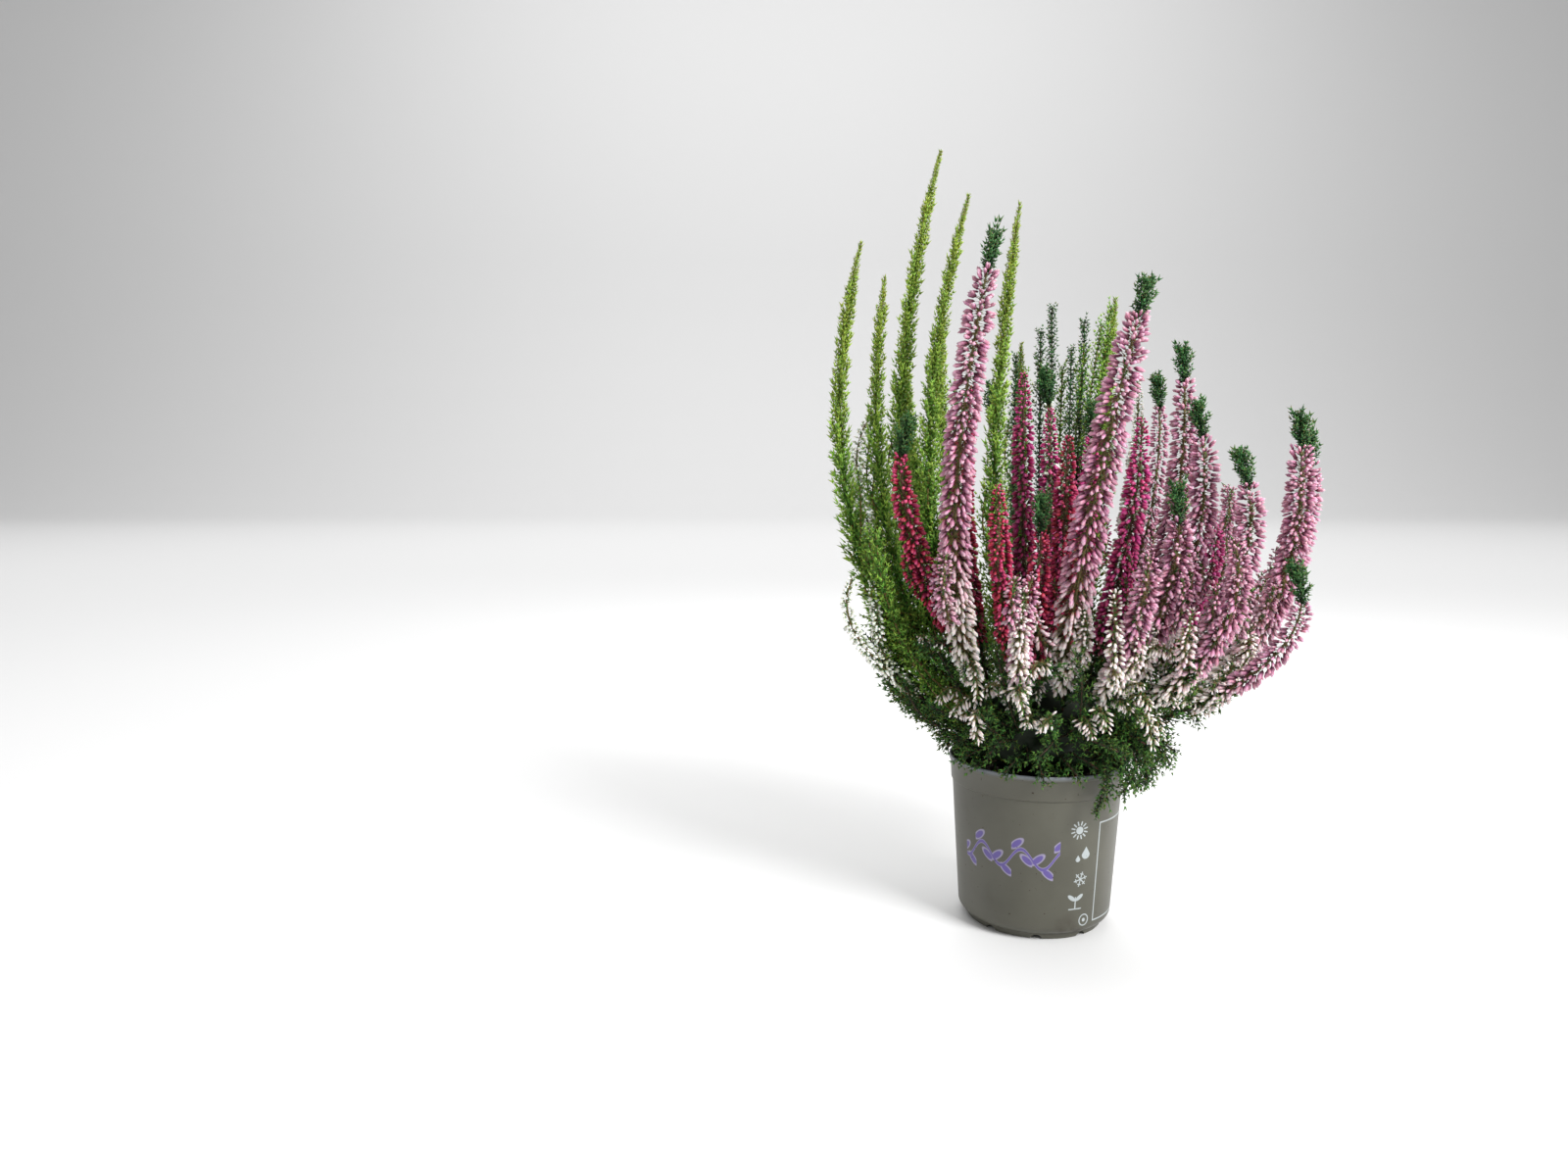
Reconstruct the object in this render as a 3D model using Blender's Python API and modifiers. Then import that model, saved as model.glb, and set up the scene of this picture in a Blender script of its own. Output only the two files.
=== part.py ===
"""A mixed heather in a plastic pot.

Five young plants share one pot, each with its own bud colour. Their short leafy shoots grow into one
low bush over the rim, and the budded spikes and green columns rise out of it. Metres, +Z up, with the
origin on the table at the centre of the pot's underside. The front of the plant faces -Y.
"""

import math
import random
from collections import namedtuple

import bmesh
import bpy
from mathutils import Matrix, Vector
from mathutils.kdtree import KDTree

MM = 0.001
SEAT_GAP = 0.3 * MM
SEED = 11

# The pot
POT_HEIGHT = 114 * MM
RIM_RADIUS = 60 * MM
LIP_HEIGHT = 3.6 * MM
COLLAR_HEIGHT = 17 * MM
WALL = 1.3 * MM
STEP_WIDTH = 0.9 * MM
BASE_RADIUS = 52.1 * MM
BASE_CORNER = 11 * MM
FOOT_RADIUS = 46.2 * MM
FOOT_WIDTH = 4.7 * MM
FOOT_LIFT = 2.4 * MM
FLOOR_TOP = 4 * MM
PAD_RADIUS = 12 * MM
POT_STEPS = 30
FOOT_NOTCHES, NOTCH_RADIUS = 9, 4.2 * MM
DRAIN_HOLES, DRAIN_RADIUS, DRAIN_RING = 6, 3.2 * MM, 27 * MM

# The root ball
SOIL_TOP = 98 * MM
SOIL_CLEARANCE = 0.4 * MM
SOIL_LUMP = 1.4 * MM
SOIL_STEPS = 24

# Where the five young plants stand in it
CROWNS = 5
CROWN_RING = 22 * MM
CROWN_FIRST_ANGLE = -50
NECK_RADIUS = 4.5 * MM
NECK_DEPTH = 15 * MM
NECK_RISE = 22 * MM

# The leafy bush: a dense heart, and leafy shoots in an upper and a lower ring round it
HEART_CENTRE = Vector((5, -3, 134)) * MM
HEART_ABOVE = Vector((66, 58, 42)) * MM
HEART_BELOW = Vector((66, 58, 33)) * MM
SPRIG_LENGTHS = (10 * MM, 19 * MM)
BARE_SHARE = 0.36
SHOOT_CENTRE = Vector((2, -3, 0)) * MM
SHOOT_REACH = Vector((112, 96, 0)) * MM
SHOOT_PLACES = (0.40, 0.70, 1.0)
SHOOT_ROWS = 6
# (number of shoots, heights at the three places along them in millimetres, share of the reach)
SHOOT_RINGS = [(16, (136, 156, 202), 1.0), (13, (132, 141, 131), 0.96)]
LEAFY_RADIUS = 9 * MM
LEAFY_SPACING = 14 * MM
LEAF_LIFT = 5 * MM
TWIG_RADIUS = 1.5 * MM
ROOTED_SHARE = 0.8
SPIKE_MARGIN = 2.5 * MM
RIM_CLEARANCE = 2 * MM

# A thin shoot that hangs over the rim at the front
TRAILING_SHOOT = [(26, -48, 132), (28, -67, 119), (22, -67, 90)]
TRAILING_RADIUS = 4.5 * MM

# What grows on each kind of stem, in millimetres: widest radius, bare stem radius, share of the length
# over which it narrows to the top, spacing of the rows of buds or side shoots, how far they droop at the
# bottom and lift at the top, and sides of the stem, two for each bud in a row
Kind = namedtuple("Kind", "widest bare narrowing spacing droop lift sides")
KINDS = {
    "pink": Kind(11.4, 1.5, 0.16, 9.8, -5.0, 2.5, 6),
    "crimson": Kind(8.8, 1.4, 0.24, 9.2, -4.0, 2.0, 6),
    "magenta": Kind(8.6, 1.4, 0.24, 9.6, -4.0, 2.0, 6),
    "white": Kind(7.0, 1.4, 0.30, 7.0, -3.0, 2.0, 4),
    "green": Kind(8.4, 1.8, 0.85, 9.2, 6.0, 7.0, 4),
}
FOUR_SIDED_TURN, SIX_SIDED_TURN = 0.2, 0.35
UNEVENNESS = 0.14
TOP_RADIUS = 2.5
TIP_LENGTH, TIP_RADIUS, TIP_ROWS = 25, 7.0, 5
TIP_STEM_RADIUS = 1.1

# Each stem in millimetres: its name, its kind, the shoulder where it stops spreading, its top, the height
# of its lowest buds, its size against the kind's, and whether a leafy green tip ends it
Stem = namedtuple("Stem", "name kind shoulder top lowest size has_tip")
STEMS = [
    Stem("pink_1", "pink", (-66, -52, 235), (-45, -50, 458), 176, 1.00, True),
    Stem("pink_2", "pink", (9, -64, 243), (48, -60, 429), 170, 1.12, True),
    Stem("pink_3", "pink", (88, 14, 244), (99, 20, 397), 186, 0.92, True),
    Stem("pink_4", "pink", (92, -16, 230), (98, -12, 357), 180, 0.92, True),
    Stem("pink_5", "pink", (110, -40, 219), (116, -38, 325), 172, 0.90, True),
    Stem("pink_6", "pink", (138, -18, 192), (167, -12, 350), 158, 0.98, True),
    Stem("pink_7", "pink", (160, 20, 202), (193, 28, 339), 166, 0.86, True),
    Stem("pink_8", "pink", (62, -56, 215), (71, -54, 302), 172, 0.95, True),
    Stem("pink_9", "pink", (124, -66, 186), (138, -72, 253), 158, 0.72, True),
    Stem("pink_10", "pink", (92, 64, 260), (98, 68, 382), 200, 0.66, True),
    Stem("pink_11", "pink", (34, -82, 200), (44, -88, 262), 166, 0.80, False),
    Stem("pink_12", "pink", (86, -74, 196), (98, -80, 268), 164, 0.80, False),
    Stem("pink_13", "pink", (-30, -76, 196), (-24, -82, 246), 166, 0.74, False),
    Stem("pink_14", "pink", (30, 92, 214), (36, 110, 318), 178, 0.86, False),
    Stem("pink_15", "pink", (134, 58, 204), (152, 66, 300), 170, 0.86, False),
    Stem("crimson_1", "crimson", (-88, -36, 255), (-95, -36, 344), 186, 1.05, True),
    Stem("crimson_2", "crimson", (-50, 8, 256), (-46, 12, 368), 192, 0.95, False),
    Stem("crimson_3", "crimson", (-34, -48, 224), (-39, -46, 300), 190, 0.92, False),
    Stem("crimson_4", "crimson", (7, -32, 225), (9, -30, 332), 182, 1.00, False),
    Stem("crimson_5", "crimson", (-14, -50, 208), (-12, -50, 296), 178, 0.95, True),
    Stem("crimson_6", "crimson", (-38, 92, 214), (-46, 108, 304), 178, 0.95, False),
    Stem("magenta_1", "magenta", (-14, -8, 260), (-16, -6, 374), 190, 0.98, False),
    Stem("magenta_2", "magenta", (9, 8, 256), (7, 12, 352), 190, 0.92, False),
    Stem("magenta_3", "magenta", (50, -20, 250), (60, -18, 345), 188, 1.05, False),
    Stem("magenta_4", "magenta", (118, 30, 214), (124, 36, 286), 176, 0.95, False),
    Stem("magenta_5", "magenta", (40, 36, 250), (46, 50, 360), 212, 0.95, True),
    Stem("magenta_6", "magenta", (86, 94, 206), (98, 106, 298), 176, 0.95, False),
    Stem("white_1", "white", (-112, 28, 262), (-115, 38, 348), 228, 1.00, False),
    Stem("white_2", "white", (-20, 42, 270), (-24, 60, 374), 192, 0.95, True),
    Stem("white_3", "white", (16, 46, 276), (14, 62, 384), 192, 0.95, True),
    Stem("white_4", "white", (66, 34, 262), (76, 42, 374), 190, 0.95, False),
    Stem("white_5", "white", (-92, 76, 214), (-102, 90, 318), 178, 1.00, False),
    Stem("white_6", "white", (-116, -26, 186), (-131, -32, 240), 160, 0.84, False),
    Stem("green_1", "green", (-92, 20, 284), (-66, 42, 535), 190, 1.10, False),
    Stem("green_2", "green", (-76, 0, 284), (-49, 24, 500), 190, 1.05, False),
    Stem("green_3", "green", (-37, -24, 270), (-24, -22, 483), 188, 0.92, False),
    Stem("green_4", "green", (-126, -4, 262), (-125, -10, 461), 176, 1.10, False),
    Stem("green_5", "green", (-101, -8, 250), (-108, 4, 441), 196, 1.00, False),
    Stem("green_6", "green", (-78, 48, 300), (-84, 66, 433), 190, 0.95, False),
    Stem("green_7", "green", (54, 66, 290), (72, 86, 440), 186, 1.20, False),
    Stem("green_8", "green", (-50, 64, 280), (-56, 86, 424), 186, 1.05, False),
    Stem("green_9", "green", (2, 74, 280), (4, 96, 408), 186, 1.05, False),
]

# (red, green, blue, roughness)
COLOURS = {
    "pot": (0.27, 0.25, 0.21, 0.45),
    "soil": (0.045, 0.03, 0.02, 0.95),
    "leaf": (0.05, 0.14, 0.03, 0.6),
    "tip": (0.05, 0.17, 0.05, 0.6),
    "pink": (0.62, 0.24, 0.38, 0.55),
    "crimson": (0.42, 0.02, 0.06, 0.55),
    "magenta": (0.45, 0.04, 0.20, 0.55),
    "white": (0.80, 0.80, 0.74, 0.55),
    "green": (0.24, 0.42, 0.06, 0.55),
}


def material(name):
    made = bpy.data.materials.get(name)
    if made is None:
        red, green, blue, roughness = COLOURS[name]
        made = bpy.data.materials.new(name)
        made.use_nodes = True
        shader = made.node_tree.nodes["Principled BSDF"]
        shader.inputs["Base Color"].default_value = (red, green, blue, 1)
        shader.inputs["Roughness"].default_value = roughness
    return made


def add_object(name, bm, collection, material_name=None):
    """Turns an edited mesh into an object of the collection."""
    mesh = bpy.data.meshes.new(name)
    bm.to_mesh(mesh)
    bm.free()
    if material_name:
        mesh.materials.append(material(material_name))
    made = bpy.data.objects.new(name, mesh)
    collection.objects.link(made)
    return made


def turned(name, profile, steps, collection, material_name):
    """A solid of revolution from (radius, height) points whose two ends lie on the axis."""
    bm = bmesh.new()
    points = [bm.verts.new((radius, 0, height)) for radius, height in profile]
    for first, second in zip(points, points[1:]):
        bm.edges.new((first, second))
    made = add_object(name, bm, collection, material_name)
    screw = made.modifiers.new("turn", "SCREW")
    screw.steps = screw.render_steps = steps
    screw.use_merge_vertices = True
    screw.merge_threshold = 0.0001
    screw.use_smooth_shade = False
    return made


def cylinder(name, radius, length, place, collection):
    bm = bmesh.new()
    bmesh.ops.create_cone(bm, cap_ends=True, segments=8, radius1=radius, radius2=radius, depth=length)
    bm.transform(place)
    return add_object(name, bm, collection)


def cut(target, cutters):
    for cutter in cutters:
        cutter.hide_render = True
        cutter.display_type = "WIRE"
        boolean = target.modifiers.new(cutter.name, "BOOLEAN")
        boolean.operation = "DIFFERENCE"
        boolean.object = cutter


def apply_modifiers(made):
    """Replaces the object's mesh by what its modifiers make of it."""
    bpy.context.view_layer.update()
    graph = bpy.context.evaluated_depsgraph_get()
    mesh = bpy.data.meshes.new_from_object(made.evaluated_get(graph))
    made.modifiers.clear()
    made.data = mesh


def wall_radius(height):
    """Outer radius of the tapered wall below the collar."""
    share = (height - BASE_CORNER) / (POT_HEIGHT - COLLAR_HEIGHT - BASE_CORNER)
    return BASE_RADIUS + (RIM_RADIUS - 2.5 * MM - BASE_RADIUS) * share


def pot_profile():
    """(radius, height) from the middle of the floor, up the inside, over the lip and down the outside."""
    collar = POT_HEIGHT - COLLAR_HEIGHT
    collar_radius = wall_radius(collar) + STEP_WIDTH
    inside = [
        (0, FLOOR_TOP),
        (FOOT_RADIUS - 2.2 * MM, FLOOR_TOP),
        (BASE_RADIUS - 3.5 * MM, 7.5 * MM),
        (wall_radius(BASE_CORNER) - WALL, BASE_CORNER + MM),
        (wall_radius(collar) - WALL, collar - 0.4 * MM),
        (collar_radius - WALL, collar + 0.4 * MM),
        (RIM_RADIUS - 2 * MM, POT_HEIGHT - 1.4 * MM),
        (RIM_RADIUS - 1.4 * MM, POT_HEIGHT),
    ]
    outside = [
        (RIM_RADIUS - 0.6 * MM, POT_HEIGHT),
        (RIM_RADIUS, POT_HEIGHT - 0.8 * MM),
        (RIM_RADIUS, POT_HEIGHT - LIP_HEIGHT),
        (RIM_RADIUS - MM, POT_HEIGHT - LIP_HEIGHT - 0.8 * MM),
        (collar_radius, collar),
        (wall_radius(collar), collar - 0.8 * MM),
        (BASE_RADIUS, BASE_CORNER),
        (BASE_RADIUS - 1.9 * MM, 5 * MM),
    ]
    underside = [
        (FOOT_RADIUS, 0),
        (FOOT_RADIUS - FOOT_WIDTH, 0),
        (FOOT_RADIUS - FOOT_WIDTH - 1.5 * MM, FOOT_LIFT),
        (PAD_RADIUS + 0.6 * MM, FOOT_LIFT),
        (PAD_RADIUS, 0),
        (0, 0),
    ]
    return inside + outside + underside


def make_pot(parts, cutters):
    """Thin tapered wall with a lipped rim, a stacking step below it, and a notched foot for drainage."""
    pot = turned("pot", pot_profile(), POT_STEPS, parts, "pot")
    lying = Matrix.Rotation(math.pi / 2, 4, "Y")
    made = []
    for index in range(FOOT_NOTCHES):
        turn = Matrix.Rotation(math.tau * (index + 0.5) / FOOT_NOTCHES, 4, "Z")
        place = turn @ Matrix.Translation((FOOT_RADIUS - FOOT_LIFT, 0, -FOOT_LIFT / 2)) @ lying
        made.append(cylinder(f"notch_{index}", NOTCH_RADIUS, 3.4 * FOOT_WIDTH, place, cutters))
    for index in range(DRAIN_HOLES):
        turn = Matrix.Rotation(math.tau * index / DRAIN_HOLES, 4, "Z")
        place = turn @ Matrix.Translation((DRAIN_RING, 0, FLOOR_TOP / 2))
        made.append(cylinder(f"drain_{index}", DRAIN_RADIUS, 4 * FLOOR_TOP, place, cutters))
    cut(pot, made)


def crown_places():
    """The five planting places, evenly spaced round the pot."""
    places = []
    for index in range(CROWNS):
        angle = math.radians(CROWN_FIRST_ANGLE + index * 360 / CROWNS)
        places.append(Vector((CROWN_RING * math.cos(angle), CROWN_RING * math.sin(angle), SOIL_TOP)))
    return places


def make_soil(parts, cutters):
    """The root ball: it fills the pot to a little below the rim, with a lumpy top and five plain holes."""
    edge = wall_radius(SOIL_TOP) - WALL - SOIL_CLEARANCE
    profile = [(edge * share, SOIL_TOP) for share in (0, 0.23, 0.48, 0.74)]
    profile += [
        (edge, SOIL_TOP - 1.5 * MM),
        (wall_radius(BASE_CORNER) - WALL - SOIL_CLEARANCE, BASE_CORNER + MM),
        (BASE_RADIUS - 3.7 * MM - SOIL_CLEARANCE, 7.8 * MM + SOIL_CLEARANCE),
        (FOOT_RADIUS - 2.6 * MM, FLOOR_TOP + SOIL_CLEARANCE),
        (0, FLOOR_TOP + SOIL_CLEARANCE),
    ]
    soil = turned("soil", profile, SOIL_STEPS, parts, "soil")
    apply_modifiers(soil)
    draw = random.Random(SEED)
    for vertex in soil.data.vertices:
        if vertex.co.z > SOIL_TOP - 0.1 * MM:
            vertex.co.z += draw.uniform(-SOIL_LUMP, SOIL_LUMP)
    holes = []
    for index, place in enumerate(crown_places()):
        radius, length = NECK_RADIUS + SEAT_GAP, 2 * (NECK_DEPTH + SEAT_GAP)
        holes.append(cylinder(f"crown_hole_{index}", radius, length, Matrix.Translation(place), cutters))
    cut(soil, holes)


def arc_point(start, middle, end, share):
    """A point of the smooth arc that passes the middle point half way along."""
    pull = 2 * middle - (start + end) / 2
    return (1 - share) ** 2 * start + 2 * share * (1 - share) * pull + share**2 * end


def arc_frames(point_at, rows):
    """Evenly spaced (point, tangent, side, other side) along the arc that point_at(share) gives."""
    steps = 200
    fine = [point_at(step / steps) for step in range(steps + 1)]
    lengths = [0.0]
    for before, after in zip(fine, fine[1:]):
        lengths.append(lengths[-1] + (after - before).length)
    rows = max(2, rows or round(lengths[-1] / LEAFY_SPACING))
    frames = []
    for row in range(rows + 1):
        nearest = min(range(steps + 1), key=lambda step: abs(lengths[step] - lengths[-1] * row / rows))
        tangent = (fine[min(steps, nearest + 1)] - fine[max(0, nearest - 1)]).normalized()
        side = Vector((0, 1, 0)).cross(tangent).normalized()
        frames.append((fine[nearest], tangent, side, tangent.cross(side)))
    return frames


def stem_point(stem, share):
    """A point of the stem's middle line: it leaves its plant's neck, passes its shoulder, and straightens."""
    shoulder = Vector(stem.shoulder) * MM
    crown = min(crown_places(), key=lambda place: (place - shoulder).xy.length)
    return arc_point(crown + Vector((0, 0, NECK_RISE)), shoulder, Vector(stem.top) * MM, share)


def share_at_height(stem, height):
    low, high = 0.0, 1.0
    while high - low > 1e-9:
        middle = (low + high) / 2
        if stem_point(stem, middle).z < height:
            low = middle
        else:
            high = middle
    return low


def stem_frames(stem, first, last, rows=None):
    return arc_frames(lambda share: stem_point(stem, first + (last - first) * share), rows)


def stem_rows(stem, first, last, spacing):
    """How many rows of the given spacing, in millimetres, fit between two shares of the stem."""
    return round((stem_point(stem, last) - stem_point(stem, first)).length / (spacing * MM))


def relief_tube(frames, peak_at, bare_at, lift_at, sides):
    """A closed tube whose surface is raised into staggered peaks, one for each bud or side shoot.

    A grid is wrapped round the frames and welded. Every second point is a peak, pushed out by
    peak_at(share) and along the stem by lift_at(share). The points between lie on the bare stem.
    """
    bm = bmesh.new()
    draw = random.Random(len(frames) + round(frames[0][0].length / MM))
    rows = len(frames) - 1
    turn = SIX_SIDED_TURN if sides == 6 else FOUR_SIDED_TURN
    bmesh.ops.create_grid(bm, x_segments=sides, y_segments=rows, size=0.5)
    for vertex in bm.verts:
        column = round((vertex.co.x + 0.5) * sides)
        row = round((vertex.co.y + 0.5) * rows)
        share = row / rows
        point, tangent, side, other = frames[row]
        angle = math.tau * column / sides + row * turn
        outward = math.cos(angle) * side + math.sin(angle) * other
        if 0 < row < rows and (column + row) % 2 == 0:
            uneven = draw.uniform(1 - UNEVENNESS, 1)
            vertex.co = point + outward * peak_at(share) * uneven + tangent * lift_at(share)
        else:
            vertex.co = point + outward * bare_at(share)
    bmesh.ops.remove_doubles(bm, verts=bm.verts, dist=0.01 * MM)
    bmesh.ops.holes_fill(bm, edges=[edge for edge in bm.edges if edge.is_boundary], sides=0)
    wall = [face for face in bm.faces if len(face.verts) == 4]
    bmesh.ops.triangulate(bm, faces=wall, quad_method="SHORT_EDGE")
    bmesh.ops.recalc_face_normals(bm, faces=bm.faces)
    return bm


def make_spike(stem, parts):
    """The budded length of one stem, from where it leaves the bush to its top or its green tip."""
    kind = KINDS[stem.kind]
    widest = kind.widest * stem.size
    first, last = share_at_height(stem, stem.lowest * MM + SEAT_GAP), tip_start(stem)
    frames = stem_frames(stem, first, last, stem_rows(stem, first, last, kind.spacing))
    thinning = 0.2 if stem.has_tip else 0.55

    def peak_at(share):
        foot = min(1.0, 0.55 + 3 * share)
        top = min(1.0, (1 - share) / kind.narrowing) ** 0.7
        return (TOP_RADIUS + (widest - TOP_RADIUS) * foot * top) * MM

    def bare_at(share):
        return kind.bare * (1 - thinning * share**4) * MM

    def lift_at(share):
        return (kind.droop + (kind.lift - kind.droop) * share) * MM

    add_object(stem.name, relief_tube(frames, peak_at, bare_at, lift_at, kind.sides), parts, stem.kind)


def tip_start(stem):
    """How far up the stem its buds end."""
    return share_at_height(stem, (stem.top[2] - TIP_LENGTH) * MM) if stem.has_tip else 1.0


def make_tip(stem, parts):
    """The leafy green end of a stem, standing on the top of its spike."""
    start = tip_start(stem)
    length = (stem_point(stem, 1.0) - stem_point(stem, start)).length
    frames = stem_frames(stem, start + (1 - start) * SEAT_GAP / length, 1.0, TIP_ROWS)
    widest = TIP_RADIUS * (0.8 + 0.2 * stem.size) * MM

    def peak_at(share):
        return widest * (1.1 - share) ** 0.5

    bm = relief_tube(frames, peak_at, lambda share: TIP_STEM_RADIUS * MM, lambda share: LEAF_LIFT, 4)
    add_object(f"{stem.name}_tip", bm, parts, "tip")


def spike_room():
    """Gives a function for the free space between a point and the nearest spike."""
    samples = []
    for stem in STEMS:
        first = share_at_height(stem, stem.lowest * MM)
        for step in range(41):
            point = stem_point(stem, first + (1 - first) * step / 40)
            samples.append((point, KINDS[stem.kind].widest * stem.size * MM))
    tree = KDTree(len(samples))
    for index, (point, _) in enumerate(samples):
        tree.insert(point, index)
    tree.balance()

    def room(point):
        return min(distance - samples[index][1] for _, index, distance in tree.find_n(point, 6))

    return room


def clear_of_pot(point):
    """Lifts a point of the foliage that would touch the pot's rim, or the soil inside it."""
    radius = point.xy.length
    if radius > RIM_RADIUS + 5 * MM:
        return point
    over_soil = SOIL_TOP + SOIL_LUMP + 2 * SEAT_GAP
    over_rim = POT_HEIGHT + RIM_CLEARANCE
    climb = min(1.0, max(0.0, (radius / RIM_RADIUS - 0.60) / 0.24))
    return Vector((point.x, point.y, max(point.z, over_soil + (over_rim - over_soil) * climb)))


def heart_radii(upper):
    return HEART_ABOVE if upper else HEART_BELOW


def in_heart(point):
    offset = point - HEART_CENTRE
    radii = heart_radii(offset.z > 0)
    return Vector((offset.x / radii.x, offset.y / radii.y, offset.z / radii.z)).length < 1


def share_leaving_heart(stem):
    """How far along the stem it comes out of the dense middle of the bush."""
    return max((step / 100 for step in range(1, 101) if in_heart(stem_point(stem, step / 100))), default=0.01)


def make_heart(room):
    """The dense middle of the bush: a dome with most of its faces drawn out into short pointed sprigs."""
    bm = bmesh.new()
    bmesh.ops.create_icosphere(bm, subdivisions=3, radius=1)
    for vertex in bm.verts:
        vertex.co = clear_of_pot(HEART_CENTRE + vertex.co * heart_radii(vertex.co.z > 0))
    bmesh.ops.recalc_face_normals(bm, faces=bm.faces)
    draw = random.Random(SEED)
    for face, normal, centre in [(face, face.normal.copy(), face.calc_center_median()) for face in bm.faces]:
        length = draw.uniform(*SPRIG_LENGTHS)
        if centre.z < POT_HEIGHT + 3 * RIM_CLEARANCE or draw.random() < BARE_SHARE:
            continue
        outward = (normal + Vector((0, 0, 0.5))).normalized()
        while length > 0 and room(centre + outward * length) < SPIKE_MARGIN:
            length -= 2 * MM
        if length > 3 * MM:
            sprig = bmesh.ops.poke(bm, faces=[face])
            sprig["verts"][0].co = clear_of_pot(centre + outward * length)
    return bm


def leafy_twig(name, frames, room, joined, radius=LEAFY_RADIUS):
    """A twig with short leafy side shoots all round, but none inside the heart or against a flower spike."""
    bm = relief_tube(frames, lambda share: radius, lambda share: TWIG_RADIUS, lambda share: LEAF_LIFT, 4)
    for vertex in bm.verts:
        vertex.co = clear_of_pot(vertex.co)
        middle = min(frames, key=lambda frame: (frame[0] - vertex.co).length)[0]
        outward = vertex.co - middle
        spare = outward.length - TWIG_RADIUS
        if spare > MM:
            taken = spare if in_heart(vertex.co) else min(spare, max(0.0, SPIKE_MARGIN - room(vertex.co)))
            vertex.co = vertex.co - outward.normalized() * taken
    add_object(name, bm, joined)


def shoot_places(outward, heights, rise):
    """The start, middle and end of a leafy shoot."""
    places = []
    for along, height in zip(SHOOT_PLACES, heights):
        places.append(SHOOT_CENTRE + outward * along + Vector((0, 0, height * MM + rise * along)))
    return places


def make_leafy_shoots(room, joined):
    """Two rings of leafy shoots: the upper ones turn up among the spikes, the lower ones nod outwards.

    A shoot that would run into a spike is shortened, and left out if it still would.
    """
    draw = random.Random(SEED)
    for ring, (count, heights, share) in enumerate(SHOOT_RINGS):
        for index in range(count):
            angle = math.tau * (index + 0.5 * ring + draw.uniform(-0.25, 0.25)) / count
            reach = SHOOT_REACH * share * draw.uniform(0.86, 1)
            outward = Vector((math.cos(angle), math.sin(angle), 0)) * reach
            rise = draw.uniform(-5, 5) * MM
            places = shoot_places(outward, heights, rise)
            while room(places[2]) < 2 * SPIKE_MARGIN and outward.length > 1.2 * HEART_ABOVE.y:
                outward = outward * 0.96
                rise -= 3 * MM
                places = shoot_places(outward, heights, rise)
            if room(places[2]) > SPIKE_MARGIN:
                frames = arc_frames(lambda along: arc_point(*places, along), SHOOT_ROWS)
                leafy_twig(f"shoot_{ring}_{index}", frames, room, joined)


def make_necks(joined):
    """The five woody bases, which stand in the holes in the soil."""
    for index, place in enumerate(crown_places()):
        foot, top = SOIL_TOP - NECK_DEPTH + SEAT_GAP, HEART_CENTRE.z
        middle = Matrix.Translation((place.x, place.y, (foot + top) / 2))
        cylinder(f"neck_{index}", NECK_RADIUS, top - foot, middle, joined)


def drop_scraps(made):
    """Keeps the largest closed body of the mesh, without the loose scraps that the union leaves."""
    bm = bmesh.new()
    bm.from_mesh(made.data)
    waiting = set(bm.verts)
    bodies = []
    while waiting:
        body = set()
        border = {waiting.pop()}
        while border:
            body |= border
            border = {edge.other_vert(vertex) for vertex in border for edge in vertex.link_edges} - body
        waiting -= body
        bodies.append(body)
    bodies.sort(key=len)
    for body in bodies[:-1]:
        bmesh.ops.delete(bm, geom=list(body), context="VERTS")
    bm.to_mesh(made.data)
    bm.free()


def make_bush(parts, joined):
    """The leafy bush, its five woody necks and the leafy foot of every spike, grown into one body."""
    room = spike_room()
    bush = add_object("leafy_bush", make_heart(room), parts, "leaf")
    make_necks(joined)
    make_leafy_shoots(room, joined)
    for stem in STEMS:
        last = share_at_height(stem, stem.lowest * MM)
        first = min(share_leaving_heart(stem), last) * ROOTED_SHARE
        leafy_twig(f"foot_{stem.name}", stem_frames(stem, first, last), room, joined)
    trail = [Vector(point) * MM for point in TRAILING_SHOOT]
    frames = arc_frames(lambda share: arc_point(*trail, share), SHOOT_ROWS)
    leafy_twig("trailing_shoot", frames, room, joined, TRAILING_RADIUS)
    union = bush.modifiers.new("grown together", "BOOLEAN")
    union.operation = "UNION"
    union.operand_type = "COLLECTION"
    union.collection = joined
    union.solver = "MANIFOLD"
    apply_modifiers(bush)
    drop_scraps(bush)
    for helper in list(joined.objects):
        bpy.data.objects.remove(helper)
    bpy.data.collections.remove(joined)


def new_collection(name):
    made = bpy.data.collections.new(name)
    bpy.context.scene.collection.children.link(made)
    return made


def main():
    for old in list(bpy.data.objects):
        bpy.data.objects.remove(old)
    parts = new_collection("potted heather")
    cutters = new_collection("cutters")
    make_pot(parts, cutters)
    make_soil(parts, cutters)
    make_bush(parts, new_collection("joined"))
    for stem in STEMS:
        make_spike(stem, parts)
        if stem.has_tip:
            make_tip(stem, parts)


main()
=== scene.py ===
# %% [markdown]
# # A potted heather
# Five young heathers share one nursery pot. Each has its own colour: dusty pink, crimson, magenta and
# white bud spikes, and yellow-green leaf columns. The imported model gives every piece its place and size.
# This lesson replaces its plain solids with real buds, leaves, twigs, plastic and peat.

# %% Load the fixed frame
import math
from collections import namedtuple

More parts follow.
